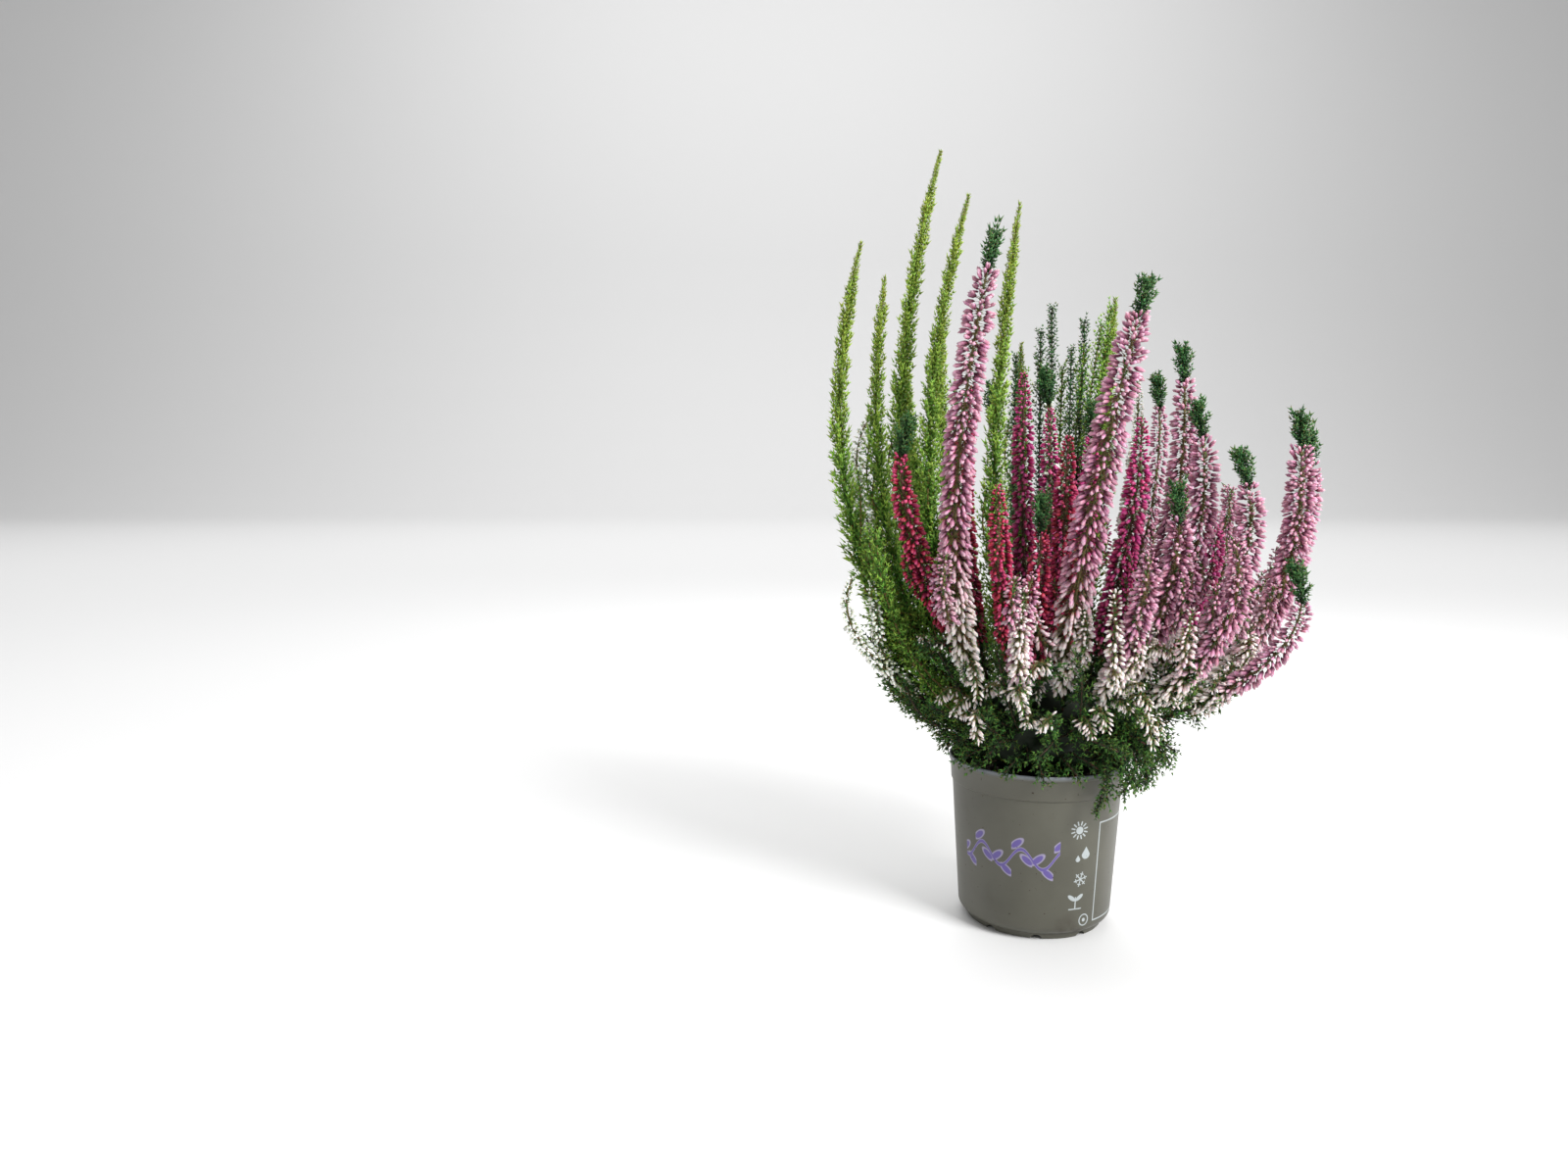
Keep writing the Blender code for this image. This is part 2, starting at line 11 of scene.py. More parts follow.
import bpy
import numpy as np
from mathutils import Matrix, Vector


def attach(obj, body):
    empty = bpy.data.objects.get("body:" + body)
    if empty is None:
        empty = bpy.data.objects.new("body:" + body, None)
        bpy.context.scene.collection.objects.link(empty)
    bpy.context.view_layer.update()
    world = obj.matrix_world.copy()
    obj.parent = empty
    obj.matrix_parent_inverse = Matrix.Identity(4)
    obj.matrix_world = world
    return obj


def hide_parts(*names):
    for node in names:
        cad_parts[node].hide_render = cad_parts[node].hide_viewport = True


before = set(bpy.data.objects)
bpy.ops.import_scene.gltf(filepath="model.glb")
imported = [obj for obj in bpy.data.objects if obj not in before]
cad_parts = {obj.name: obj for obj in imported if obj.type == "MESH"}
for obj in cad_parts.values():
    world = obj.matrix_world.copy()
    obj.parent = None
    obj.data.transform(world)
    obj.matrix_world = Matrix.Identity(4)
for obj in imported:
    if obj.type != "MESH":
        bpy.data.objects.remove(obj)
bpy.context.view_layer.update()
MM = 0.001
SEED = 11


# %% [markdown]
# ## The camera, the floor and the light
# The camera stands where the photographer stood, a little left of the pot and above its rim, and looks
# slightly down. The floor is plain and pale, and it curves up far behind the pot, as in a photo studio.
# A large lamp at the right makes the side that is bright in the photo, and a weak one fills the left. One
# behind the plant lights its edges, and a wide one high above the bend keeps the backdrop pale.

# %% Camera, floor and lamps
CAMERA_PLACE = (-0.176, -0.737, 0.304)
CAMERA_DIP = 5.7
CAMERA_LENS = 24.75
FLOOR_SIZE = 16
FLOOR_WIDENING = 1.25
FLOOR_COLOUR = (0.8, 0.8, 0.8, 1)
FLOOR_ROUGHNESS = 0.8
BEND_STEPS, BEND_STEP = 8, 0.5
BACKDROP_HEIGHT = 6
# Place, the point that it shines at, its width in metres and its power in watts
LAMPS = {
    "key lamp": ((1.0, -1.1, 1.3), (0, 0, 0.25), 0.8, 43),
    "fill lamp": ((-1.3, -0.9, 0.9), (0, 0, 0.25), 1.2, 1),
    "back lamp": ((0.2, 1.3, 1.5), (0, 0, 0.3), 1.2, 9),
    "backdrop lamp": ((0, 4.5, 6), (0, 6, 0), 9, 420),
}
WHITE = (1, 1, 1, 1)
SKY_STRENGTH = 0.4


def deselect():
    if bpy.context.object and bpy.context.object.mode != "OBJECT":
        bpy.ops.object.mode_set(mode="OBJECT")
    bpy.ops.object.select_all(action="DESELECT")


def select_only(*chosen):
    """Selects these objects alone, with the first one active."""
    deselect()
    for each in chosen:
        each.select_set(True)
    bpy.context.view_layer.objects.active = chosen[0]


def enter_edit():
    bpy.ops.object.mode_set(mode="EDIT")


def edit_all():
    """Goes into edit mode on the active object with all of it selected."""
    enter_edit()
    bpy.ops.mesh.select_all(action="SELECT")


def leave_edit():
    bpy.ops.object.mode_set(mode="OBJECT")


def add_camera():
    bpy.ops.object.camera_add(location=CAMERA_PLACE, rotation=(math.radians(90 - CAMERA_DIP), 0, 0))
    camera = bpy.context.object
    camera.data.lens = CAMERA_LENS
    bpy.context.scene.camera = camera
    return camera


def add_floor():
    """A wide plane. Its back edge is drawn up through a bend to make the backdrop."""
    deselect()
    bpy.ops.mesh.primitive_plane_add(size=FLOOR_SIZE)
    floor = bpy.context.object
    floor.name = "floor"
    edit_all()
    bpy.ops.transform.resize(value=(FLOOR_WIDENING, 1, 1))
    bpy.ops.mesh.select_mode(type="EDGE")
    bpy.ops.mesh.select_all(action="DESELECT")
    leave_edit()
    for edge in floor.data.edges:
        edge.select = all(floor.data.vertices[index].co.y > 0 for index in edge.vertices)
    enter_edit()
    angles = [math.radians(90 * (turn + 0.5) / BEND_STEPS) for turn in range(BEND_STEPS)]
    steps = [(0, BEND_STEP * math.cos(angle), BEND_STEP * math.sin(angle)) for angle in angles]
    for step in [*steps, (0, 0, BACKDROP_HEIGHT)]:
        bpy.ops.mesh.extrude_region_move(TRANSFORM_OT_translate={"value": step})
    leave_edit()
    bpy.ops.object.shade_smooth()
    finish = bpy.data.materials.new("studio floor")
    finish.use_nodes = True
    shader = finish.node_tree.nodes["Principled BSDF"]
    shader.inputs["Base Color"].default_value = FLOOR_COLOUR
    shader.inputs["Roughness"].default_value = FLOOR_ROUGHNESS
    floor.data.materials.append(finish)


def add_lamp(name, place, target, width, watts):
    deselect()
    bpy.ops.object.light_add(type="AREA", location=place)
    lamp = bpy.context.object
    lamp.name = name
    lamp.data.size = width
    lamp.data.energy = watts
    lamp.rotation_euler = (Vector(target) - Vector(place)).to_track_quat("-Z", "Y").to_euler()


def add_sky():
    world = bpy.data.worlds.new("studio")
    world.use_nodes = True
    world.node_tree.nodes["Background"].inputs["Color"].default_value = WHITE
    world.node_tree.nodes["Background"].inputs["Strength"].default_value = SKY_STRENGTH
    bpy.context.scene.world = world


camera = add_camera()
add_floor()
for name, settings in LAMPS.items():
    add_lamp(name, *settings)
add_sky()
bpy.context.scene.view_settings.view_transform = "Standard"
print("camera lens:", camera.data.lens, "mm, lamps:", len(LAMPS))

# %% [markdown]
# ## Where the stems run
# The stems' table gives every stem its place, so every finer piece grows where its solid stands.
# A stem leaves its young plant's neck in the soil, passes its shoulder, and rises to its top on one arc.

# %% The pot's sizes and the plants' places
POT_HEIGHT = 114 * MM
RIM_RADIUS = 60 * MM
SOIL_TOP = 98 * MM
CROWNS = 5
CROWN_RING = 22 * MM
CROWN_FIRST_ANGLE = -50
NECK_RISE = 22 * MM
NECK_RADIUS = 4.5 * MM
HEART_CENTRE = np.array((5, -3, 134)) * MM
HEART_ABOVE = np.array((66, 58, 42)) * MM
HEART_BELOW = np.array((66, 58, 33)) * MM
TIP_LENGTH = 25

print("pot:", round(POT_HEIGHT / MM), "mm tall and", round(2 * RIM_RADIUS / MM), "mm across")

# %% The stems
# Widest radius and bare stem radius in millimetres, and the share of the length over which it narrows
Kind = namedtuple("Kind", "widest bare narrowing")
KINDS = {
    "pink": Kind(11.4, 1.5, 0.16),
    "crimson": Kind(8.8, 1.4, 0.24),
    "magenta": Kind(8.6, 1.4, 0.24),
    "white": Kind(7.0, 1.4, 0.30),
    "green": Kind(8.4, 1.8, 0.85),
}
DARK_KINDS = ("pink", "white", "crimson", "magenta")
TOP_RADIUS = 2.5

# For each stem: shoulder, top, height of the lowest buds, size against the kind's, and if a green tip ends it
STEM_ROWS = {
    "pink": [
        ((-66, -52, 235), (-45, -50, 458), 176, 1.00, True),
        ((9, -64, 243), (48, -60, 429), 170, 1.12, True),
        ((88, 14, 244), (99, 20, 397), 186, 0.92, True),
        ((92, -16, 230), (98, -12, 357), 180, 0.92, True),
        ((110, -40, 219), (116, -38, 325), 172, 0.90, True),
        ((138, -18, 192), (167, -12, 350), 158, 0.98, True),
        ((160, 20, 202), (193, 28, 339), 166, 0.86, True),
        ((62, -56, 215), (71, -54, 302), 172, 0.95, True),
        ((124, -66, 186), (138, -72, 253), 158, 0.72, True),
        ((92, 64, 260), (98, 68, 382), 200, 0.66, True),
        ((34, -82, 200), (44, -88, 262), 166, 0.80, False),
        ((86, -74, 196), (98, -80, 268), 164, 0.80, False),
        ((-30, -76, 196), (-24, -82, 246), 166, 0.74, False),
        ((30, 92, 214), (36, 110, 318), 178, 0.86, False),
        ((134, 58, 204), (152, 66, 300), 170, 0.86, False),
    ],
    "crimson": [
        ((-88, -36, 255), (-95, -36, 344), 186, 1.05, True),
        ((-50, 8, 256), (-46, 12, 368), 192, 0.95, False),
        ((-34, -48, 224), (-39, -46, 300), 190, 0.92, False),
        ((7, -32, 225), (9, -30, 332), 182, 1.00, False),
        ((-14, -50, 208), (-12, -50, 296), 178, 0.95, True),
        ((-38, 92, 214), (-46, 108, 304), 178, 0.95, False),
    ],
    "magenta": [
        ((-14, -8, 260), (-16, -6, 374), 190, 0.98, False),
        ((9, 8, 256), (7, 12, 352), 190, 0.92, False),
        ((50, -20, 250), (60, -18, 345), 188, 1.05, False),
        ((118, 30, 214), (124, 36, 286), 176, 0.95, False),
        ((40, 36, 250), (46, 50, 360), 212, 0.95, True),
        ((86, 94, 206), (98, 106, 298), 176, 0.95, False),
    ],
    "white": [
        ((-112, 28, 262), (-115, 38, 348), 228, 1.00, False),
        ((-20, 42, 270), (-24, 60, 374), 192, 0.95, True),
        ((16, 46, 276), (14, 62, 384), 192, 0.95, True),
        ((66, 34, 262), (76, 42, 374), 190, 0.95, False),
        ((-92, 76, 214), (-102, 90, 318), 178, 1.00, False),
        ((-116, -26, 186), (-131, -32, 240), 160, 0.84, False),
    ],
    "green": [
        ((-92, 20, 284), (-66, 42, 535), 190, 1.10, False),
        ((-76, 0, 284), (-49, 24, 500), 190, 1.05, False),
        ((-37, -24, 270), (-24, -22, 483), 188, 0.92, False),
        ((-126, -4, 262), (-125, -10, 461), 176, 1.10, False),
        ((-101, -8, 250), (-108, 4, 441), 196, 1.00, False),
        ((-78, 48, 300), (-84, 66, 433), 190, 0.95, False),
        ((54, 66, 290), (72, 86, 440), 186, 1.20, False),
        ((-50, 64, 280), (-56, 86, 424), 186, 1.05, False),
        ((2, 74, 280), (4, 96, 408), 186, 1.05, False),
    ],
}
Stem = namedtuple("Stem", "name kind shoulder top lowest size has_tip")
STEMS = [
    Stem(f"{kind}_{number}", kind, *row)
    for kind, rows in STEM_ROWS.items() for number, row in enumerate(rows, 1)
]
print("stems:", len(STEMS), "and of them with a green tip:", sum(stem.has_tip for stem in STEMS))

# %% Lines along the stems
FINE_STEPS = 300
HEIGHT_STEPS = 2001


def crown_places():
    """The five planting places, evenly spaced round the pot."""
    angles = np.radians(CROWN_FIRST_ANGLE + np.arange(CROWNS) * 360 / CROWNS)
    return np.stack([CROWN_RING * np.cos(angles), CROWN_RING * np.sin(angles), np.full(CROWNS, SOIL_TOP)], 1)


def arc_points(start, middle, end, shares):
    """Points of the smooth arc that passes the middle point half way along."""
    shares = np.asarray(shares, float)[:, None]
    pull = 2 * middle - (start + end) / 2
    return (1 - shares) ** 2 * start + 2 * shares * (1 - shares) * pull + shares**2 * end


def stem_points(stem, shares):
    shoulder = np.array(stem.shoulder) * MM
    crowns = crown_places()
    crown = crowns[np.argmin(np.linalg.norm(crowns[:, :2] - shoulder[:2], axis=1))]
    return arc_points(crown + (0, 0, NECK_RISE), shoulder, np.array(stem.top) * MM, shares)


def share_at_height(stem, height):
    shares = np.linspace(0, 1, HEIGHT_STEPS)
    return float(np.interp(height, stem_points(stem, shares)[:, 2], shares))


def in_heart(points):
    """How far out each point lies from the bush's middle: under 1 is inside its dense heart."""
    offset = points - HEART_CENTRE
    radii = np.where(offset[:, 2:] > 0, HEART_ABOVE, HEART_BELOW)
    return np.linalg.norm(offset / radii, axis=1)


# A stretch of a line as points, directions, two directions across, and how far along each point is
Line = namedtuple("Line", "points along side other share")


def line_through(point_at, first, last, step):
    """Evenly spaced places on the stretch of a line from one share of it to another."""
    fine = np.linspace(first, last, FINE_STEPS)
    points = point_at(fine)
    lengths = np.concatenate([[0], np.cumsum(np.linalg.norm(np.diff(points, axis=0), axis=1))])
    count = max(2, round(lengths[-1] / step) + 1)
    shares = np.interp(np.linspace(0, lengths[-1], count), lengths, fine)
    points = point_at(shares)
    along = np.gradient(points, axis=0)
    along /= np.linalg.norm(along, axis=1)[:, None]
    side = np.cross((0, 1, 0), along)
    side /= np.linalg.norm(side, axis=1)[:, None]
    return Line(points, along, side, np.cross(along, side), np.linspace(0, 1, count))


def stem_line(stem, first, last, step):
    return line_through(lambda shares: stem_points(stem, shares), first, last, step)


def level_way(angle):
    """The level direction at an angle round the plant."""
    return np.array((math.cos(angle), math.sin(angle), 0))


tallest = max(STEMS, key=lambda stem: stem.top[2])
print("tallest stem:", tallest.name, "from", np.round(stem_points(tallest, [0])[0] / MM), "to", tallest.top)

# %% [markdown]
# ## Small shapes, modelled once
# A heather has thousands of buds and leaves, so each small shape is modelled once from a primitive, with
# few faces, and then copied along the stems. The bench helpers below lift a finished model off as arrays,
# and copy it to many places at once. Each copy carries four numbers for the shader: how far along the
# shape a point lies, the copy's own tint, how far up its stem it grows, and what it is (wood, leaf or bud).

# %% From a model to arrays and back
Shape = namedtuple("Shape", "points faces along kind")
WOOD, LEAF, BUD = 0.0, 0.5, 1.0


def lifted(made, kind):
    """Takes a model off the bench as a shape. How far along comes from its height."""
    select_only(made)
    bpy.ops.object.transform_apply(location=True, rotation=True, scale=True)
    edit_all()
    bpy.ops.mesh.quads_convert_to_tris()
    bpy.ops.mesh.normals_make_consistent(inside=False)
    leave_edit()
    points = np.empty(len(made.data.vertices) * 3)
    made.data.vertices.foreach_get("co", points)
    points = points.reshape(-1, 3)
    faces = np.array([tuple(face.vertices) for face in made.data.polygons])
    bpy.data.objects.remove(made)
    height = points[:, 2]
    along = (height - height.min()) / max(1e-9, height.max() - height.min())
    return Shape(points, faces, along, np.full(len(points), kind))


def joined(shapes):
    """Several shapes as one."""
    starts = np.cumsum([0] + [len(shape.points) for shape in shapes[:-1]])
    faces = np.concatenate([shape.faces + start for shape, start in zip(shapes, starts)])
    return Shape(
        np.concatenate([shape.points for shape in shapes]),
        faces,
        np.concatenate([shape.along for shape in shapes]),
        np.concatenate([shape.kind for shape in shapes]),
    )


print("kinds of growth:", {"wood": WOOD, "leaf": LEAF, "bud": BUD})

# %% Copies at many places
def placings(origins, directions, rolls, sizes):
    """Matrices that stand a shape at each origin, along a direction, rolled round it, at its own size."""
    upright = directions / np.linalg.norm(directions, axis=1)[:, None]
    helper = np.where(np.abs(upright[:, 2:]) < 0.9, (0.0, 0.0, 1.0), (1.0, 0.0, 0.0))
    across = np.cross(helper, upright)
    across /= np.linalg.norm(across, axis=1)[:, None]
    third = np.cross(upright, across)
    cosine, sine = np.cos(rolls)[:, None], np.sin(rolls)[:, None]
    sizes = np.broadcast_to(np.asarray(sizes, float).reshape(len(origins), -1), (len(origins), 3))
    places = np.empty((len(origins), 3, 4))
    places[:, :, 0] = (cosine * across + sine * third) * sizes[:, :1]
    places[:, :, 1] = (cosine * third - sine * across) * sizes[:, 1:2]
    places[:, :, 2] = upright * sizes[:, 2:]
    places[:, :, 3] = origins
    return places


def planted(shape, places, tints, shares):
    """Copies of a shape, as points, triangles and the four numbers for the shader."""
    count, size = len(places), len(shape.points)
    points = np.einsum("nij,pj->npi", places[:, :, :3], shape.points) + places[:, None, :, 3]
    faces = shape.faces[None] + (np.arange(count) * size)[:, None, None]
    paint = np.empty((count, size, 4))
    paint[:, :, 0] = shape.along
    paint[:, :, 1] = np.asarray(tints)[:, None]
    paint[:, :, 2] = np.asarray(shares)[:, None]
    paint[:, :, 3] = shape.kind
    return points.reshape(-1, 3), faces.reshape(-1, 3), paint.reshape(-1, 4)


def unmoved(shape, tint):
    """One shape where it stands, with one tint, as points, triangles and the four numbers."""
    tints, shares = np.full_like(shape.along, tint), np.zeros_like(shape.along)
    return shape.points, shape.faces, np.stack([shape.along, tints, shares, shape.kind], 1)


one_place = placings(np.zeros((1, 3)), np.array([(0.0, 0.0, 1.0)]), np.zeros(1), 1)
print("rows and columns that place one copy:", one_place.shape[1:])

# %% Pieces that ride on the plant
PAINT = "growth"
totals = {}


def grown(name, clumps, slot, *nodes):
    """One piece from many clumps of copies, riding on the plant in place of its CAD nodes."""
    starts = np.cumsum([0] + [len(points) for points, _, _ in clumps[:-1]])
    points = np.concatenate([points for points, _, _ in clumps])
    faces = np.concatenate([faces + start for (_, faces, _), start in zip(clumps, starts)])
    paint = np.concatenate([paint for _, _, paint in clumps])
    mesh = bpy.data.meshes.new(name)
    mesh.vertices.add(len(points))
    mesh.vertices.foreach_set("co", points.astype(np.float32).ravel())
    mesh.loops.add(len(faces) * 3)
    mesh.loops.foreach_set("vertex_index", faces.astype(np.int32).ravel())
    mesh.polygons.add(len(faces))
    mesh.polygons.foreach_set("loop_start", np.arange(0, len(faces) * 3, 3, dtype=np.int32))
    mesh.update(calc_edges=True)
    mesh.shade_smooth()
    colours = mesh.color_attributes.new(PAINT, "FLOAT_COLOR", "POINT")
    colours.data.foreach_set("color", paint.astype(np.float32).ravel())
    piece = bpy.data.objects.new(name, mesh)
    bpy.context.scene.collection.objects.link(piece)
    mesh.materials.append(finishes[slot])
    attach(piece, "root")
    if nodes:
        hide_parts(*nodes)
    totals[name] = len(faces)
    return piece


print("pieces so far:", len(totals))

# %% [markdown]
# ## The bud, the leaf, the sprig and the twig
# A heather bud stays closed: a slim waxy drop on a short stalk. A leaf is a narrow scale about three
# millimetres long. Leaves sit in crossed pairs on short side shoots, the sprigs, which make the plant look
# feathery. A twig is a straight stick with rings, so that it can be bent along a stem afterwards.

# %% The closed bud on its stalk
BUD_LENGTH = 10 * MM
STALK_SHARE = 0.26
STALK_OVERLAP = 1.6
BUD_RADIUS = 1.4 * MM
STALK_INWARD = 0.28
STALK_WIDTH = 0.5 * MM
BUD_WAIST = 0.85


def model_bud():
    """A bud and its stalk, together as long as BUD_LENGTH, standing on the origin."""
    drop = BUD_LENGTH * (1 - STALK_SHARE)
    deselect()
    bpy.ops.mesh.primitive_uv_sphere_add(segments=4, ring_count=3, radius=1)
    made = bpy.context.object
    edit_all()
    bpy.ops.transform.resize(value=(BUD_RADIUS, BUD_RADIUS, drop / 2), center_override=(0, 0, 0))
    bpy.ops.transform.translate(value=(0, 0, BUD_LENGTH - drop / 2))
    bpy.ops.mesh.select_mode(type="VERT")
    bpy.ops.mesh.select_all(action="DESELECT")
    leave_edit()
    for vertex in made.data.vertices:
        vertex.select = vertex.co.z < BUD_LENGTH - 0.5 * drop
    enter_edit()
    bpy.ops.transform.resize(value=(BUD_WAIST, BUD_WAIST, 1), center_override=(0, 0, 0))
    leave_edit()
    blossom = lifted(made, BUD)
    stalk = model_leaf(BUD_LENGTH * (STALK_SHARE * STALK_OVERLAP + STALK_INWARD), STALK_WIDTH, WOOD)
    stalk.points[:, 2] -= BUD_LENGTH * STALK_INWARD
    return joined([blossom, stalk])


print("a bud is", round(BUD_LENGTH / MM), "mm long")

# %% The leaf and the sprig
LEAF_LENGTH = 3.0 * MM
LEAF_WIDTH = 0.85 * MM
LEAF_FLATNESS = 0.6
SPRIG_LENGTH = 10 * MM
SPRIG_STALK, SPRIG_STALK_WIDTH = 0.95, 0.45 * MM
# Where the lowest leaves stand and how far the rest climb, as shares of the sprig, and how leaves lean out
FIRST_PAIR, PAIR_CLIMB = 0.08, 0.72
LOW_LEAF_LEAN, LEAF_LEAN_LOSS = 1.05, 0.5
PAIR_TURN = 0.3


def model_leaf(length, width, kind=LEAF):
    """A narrow leaf standing on the origin, flatter than it is wide."""
    deselect()
    bpy.ops.mesh.primitive_cone_add(vertices=3, radius1=width, depth=length, location=(0, 0, length / 2))
    edit_all()
    bpy.ops.transform.resize(value=(1, LEAF_FLATNESS, 1), center_override=(0, 0, 0))
    leave_edit()
    return lifted(bpy.context.object, kind)


def model_sprig(pairs):
    """A short side shoot: a thin stalk with crossed pairs of leaves that lean outwards."""
    parts = [model_leaf(SPRIG_LENGTH * SPRIG_STALK, SPRIG_STALK_WIDTH)]
    for pair in range(pairs):
        height = SPRIG_LENGTH * (FIRST_PAIR + PAIR_CLIMB * pair / (pairs - 1))
        angles = math.pi / 2 * pair + np.array([0, math.pi]) + PAIR_TURN * (pair % 2)
        lean = LOW_LEAF_LEAN - LEAF_LEAN_LOSS * pair / (pairs - 1)
        directions = np.stack([np.cos(angles) * lean, np.sin(angles) * lean, np.ones(2)], 1)
        origins = np.tile((0, 0, height), (2, 1))
        points, faces, _ = planted(leaf, placings(origins, directions, angles, np.ones(2)), [0, 0], [0, 0])
        along = np.clip(points[:, 2] / SPRIG_LENGTH, 0, 1)
        parts.append(Shape(points, faces, along, np.full(len(points), LEAF)))
    return joined(parts)


leaf = model_leaf(LEAF_LENGTH, LEAF_WIDTH)
bud = model_bud()
sprig = model_sprig(4)
plain_sprig = model_sprig(3)
print("faces of a bud:", len(bud.faces))
print("faces of a leaf:", len(leaf.faces), "faces of a sprig:", len(sprig.faces))

# %% The twig
def model_twig(sides, rings):
    """A straight stick of radius 1 and length 1, extruded ring by ring."""
    deselect()
    bpy.ops.mesh.primitive_circle_add(vertices=sides, radius=1, fill_type="NGON")
    edit_all()
    for _ in range(rings):
        bpy.ops.mesh.extrude_region_move(TRANSFORM_OT_translate={"value": (0, 0, 1 / rings)})
    leave_edit()
    return lifted(bpy.context.object, WOOD)


def bent_twig(line, twig, foot_radius, top_radius, tint=0.4):
    """A straight twig bent along a line, from one radius at its foot to another at its top."""
    shares = twig.points[:, 2]
    centre, side, other = [
        np.stack([np.interp(shares, line.share, values[:, axis]) for axis in range(3)], 1)
        for values in (line.points, line.side, line.other)
    ]
    radius = (foot_radius + (top_radius - foot_radius) * shares)[:, None]
    points = centre + side * twig.points[:, :1] * radius + other * twig.points[:, 1:2] * radius
    paint = np.stack([shares, np.full_like(shares, tint), shares, twig.kind], 1)
    return points, twig.faces, paint


long_twig = model_twig(5, 20)
short_twig = model_twig(4, 7)
print("faces of the twigs:", len(long_twig.faces), len(short_twig.faces))

# %% [markdown]
# ## Shared shader groups
# A Value stands for a number inside a shader, and each sum on it adds a Math node, so that formulas can be
# written plainly. Two effects are used by almost every finish, so each is a node group. Mottle gives soft
# uneven tone and small bumps from noise. Growth reads the four painted numbers, and colours wood, leaves
# and buds with them: each bud runs from a darker base, which is painted shade between the buds, to a pale
# tip, which is partly a painted highlight, and each copy has its own slight tint.

# %% Helpers for nodes
def linear(red, green, blue):
    """A colour as the shader wants it, from the 0 to 255 values that a screen shows."""
    shares = [value / 255 for value in (red, green, blue)]
    return (*[share / 12.92 if share <= 0.04045 else ((share + 0.055) / 1.055) ** 2.4 for share in shares], 1)


def fill(tree, node, inputs):
    """Fills a node's inputs with plain values, or links them to Values and sockets."""
    for name, value in inputs.items():
        value = value.socket if isinstance(value, Value) else value
        if isinstance(value, bpy.types.NodeSocket):
            tree.links.new(value, node.inputs[name])
        else:
            node.inputs[name].default_value = value
    return node


def add_node(tree, kind, inputs, **settings):
    """Adds one shader node with its settings, and fills its inputs."""
    made = tree.nodes.new("ShaderNode" + kind)
    for name, value in settings.items():
        setattr(made, name, value)
    return fill(tree, made, inputs)


class Value:
    """A number inside a shader. Each sum on it adds a Math node."""

    def __init__(self, tree, socket):
        self.tree = tree
        self.socket = socket

    def math(self, operation, *others, first=None):
        values = [self, *others] if first is None else [first, self]
        node = add_node(self.tree, "Math", dict(enumerate(values)), operation=operation)
        return Value(self.tree, node.outputs[0])

    def __add__(self, other):
        return self.math("ADD", other)

    def __sub__(self, other):
        return self.math("SUBTRACT", other)

    def __rsub__(self, other):
        return self.math("SUBTRACT", first=other)

    def __mul__(self, other):
        return self.math("MULTIPLY", other)

    def __truediv__(self, other):
        return self.math("DIVIDE", other)

    def __abs__(self):
        return self.math("ABSOLUTE")


def values_of(tree, sockets):
    return [Value(tree, socket) for socket in sockets]


def mixed(factor, first, second, blend="MIX"):
    """One colour mixed into another."""
    inputs = {0: factor, 6: first, 7: second}
    return add_node(factor.tree, "Mix", inputs, data_type="RGBA", blend_type=blend).outputs[2]


def between(value, low, high):
    """0 below low, 1 above high, and a smooth rise between."""
    tree, inputs = value.tree, {"Value": value, "From Min": low, "From Max": high}
    return Value(tree, add_node(tree, "MapRange", inputs, interpolation_type="SMOOTHSTEP").outputs[0])


def new_group(name, inputs, outputs):
    """A node group with named sockets, its inputs as Values, and the node that takes its results."""
    group = bpy.data.node_groups.new(name, "ShaderNodeTree")
    for socket, kind, value in inputs:
        made = group.interface.new_socket(socket, in_out="INPUT", socket_type="NodeSocket" + kind)
        made.default_value = value
    for socket, kind in outputs:
        group.interface.new_socket(socket, in_out="OUTPUT", socket_type="NodeSocket" + kind)
    given = {socket.name: Value(group, socket) for socket in group.nodes.new("NodeGroupInput").outputs}
    return group, given, group.nodes.new("NodeGroupOutput")


def use_group(tree, group, inputs):
    made = fill(tree, add_node(tree, "Group", {}, node_tree=group), inputs)
    return {socket.name: Value(tree, socket) for socket in made.outputs}


def new_finish(name, roughness, **settings):
    """A material, its node tree and its shader, with the shader's even values set on its own sockets."""
    made = bpy.data.materials.new(name)
    made.use_nodes = True
    shader = made.node_tree.nodes["Principled BSDF"]
    shader.inputs["Roughness"].default_value = roughness
    for socket, value in settings.items():
        shader.inputs[socket.replace("_", " ")].default_value = value
    return made, made.node_tree, shader


def bumps(tree, height, strength, distance):
    return add_node(tree, "Bump", {"Height": height, "Strength": strength, "Distance": distance}).outputs[0]


def place_in(tree):
    return add_node(tree, "TexCoord", {}).outputs["Object"]


print("a mid grey of 128 is", round(linear(128, 128, 128)[0], 3), "to the shader")

# %% The mottle group
def make_mottle():
    usual = {"Scale": 400.0, "Detail": 3.0, "Low": 0.35, "High": 0.65}
    inputs = [(name, "Float", value) for name, value in usual.items()]
    group, given, result = new_group("Mottle", inputs, [("Tone", "Float"), ("Height", "Float")])
    noise_inputs = {"Vector": place_in(group), "Scale": given["Scale"], "Detail": given["Detail"]}
    noise = Value(group, add_node(group, "TexNoise", noise_inputs).outputs[0])
    fill(group, result, {"Tone": between(noise, given["Low"], given["High"]), "Height": noise})
    return group


mottle = make_mottle()
print("nodes in the mottle:", len(mottle.nodes))

# %% The growth group
GROWTH_COLOURS = (
    "Base", "Middle", "Tip", "Low Base", "Low Middle", "Low Tip", "Leaf", "Leaf Tip", "Top Leaf", "Wood",
)
# Where each bud's darker base, painted shade between the buds, gives way, and where its pale tip, partly a
# painted highlight, begins
SHADED_BASE_ENDS, TIP_STARTS = (0.18, 0.52), 0.6
LEAF_TIP_STARTS, TOP_LEAF_STARTS, TOP_LEAF_SHARE = 0.1, 0.3, 0.7
LOW_FADE, LOW_RAGGED = 0.4, 0.1
HUE_TURNS, HUE_SPREAD = 37.0, 0.012


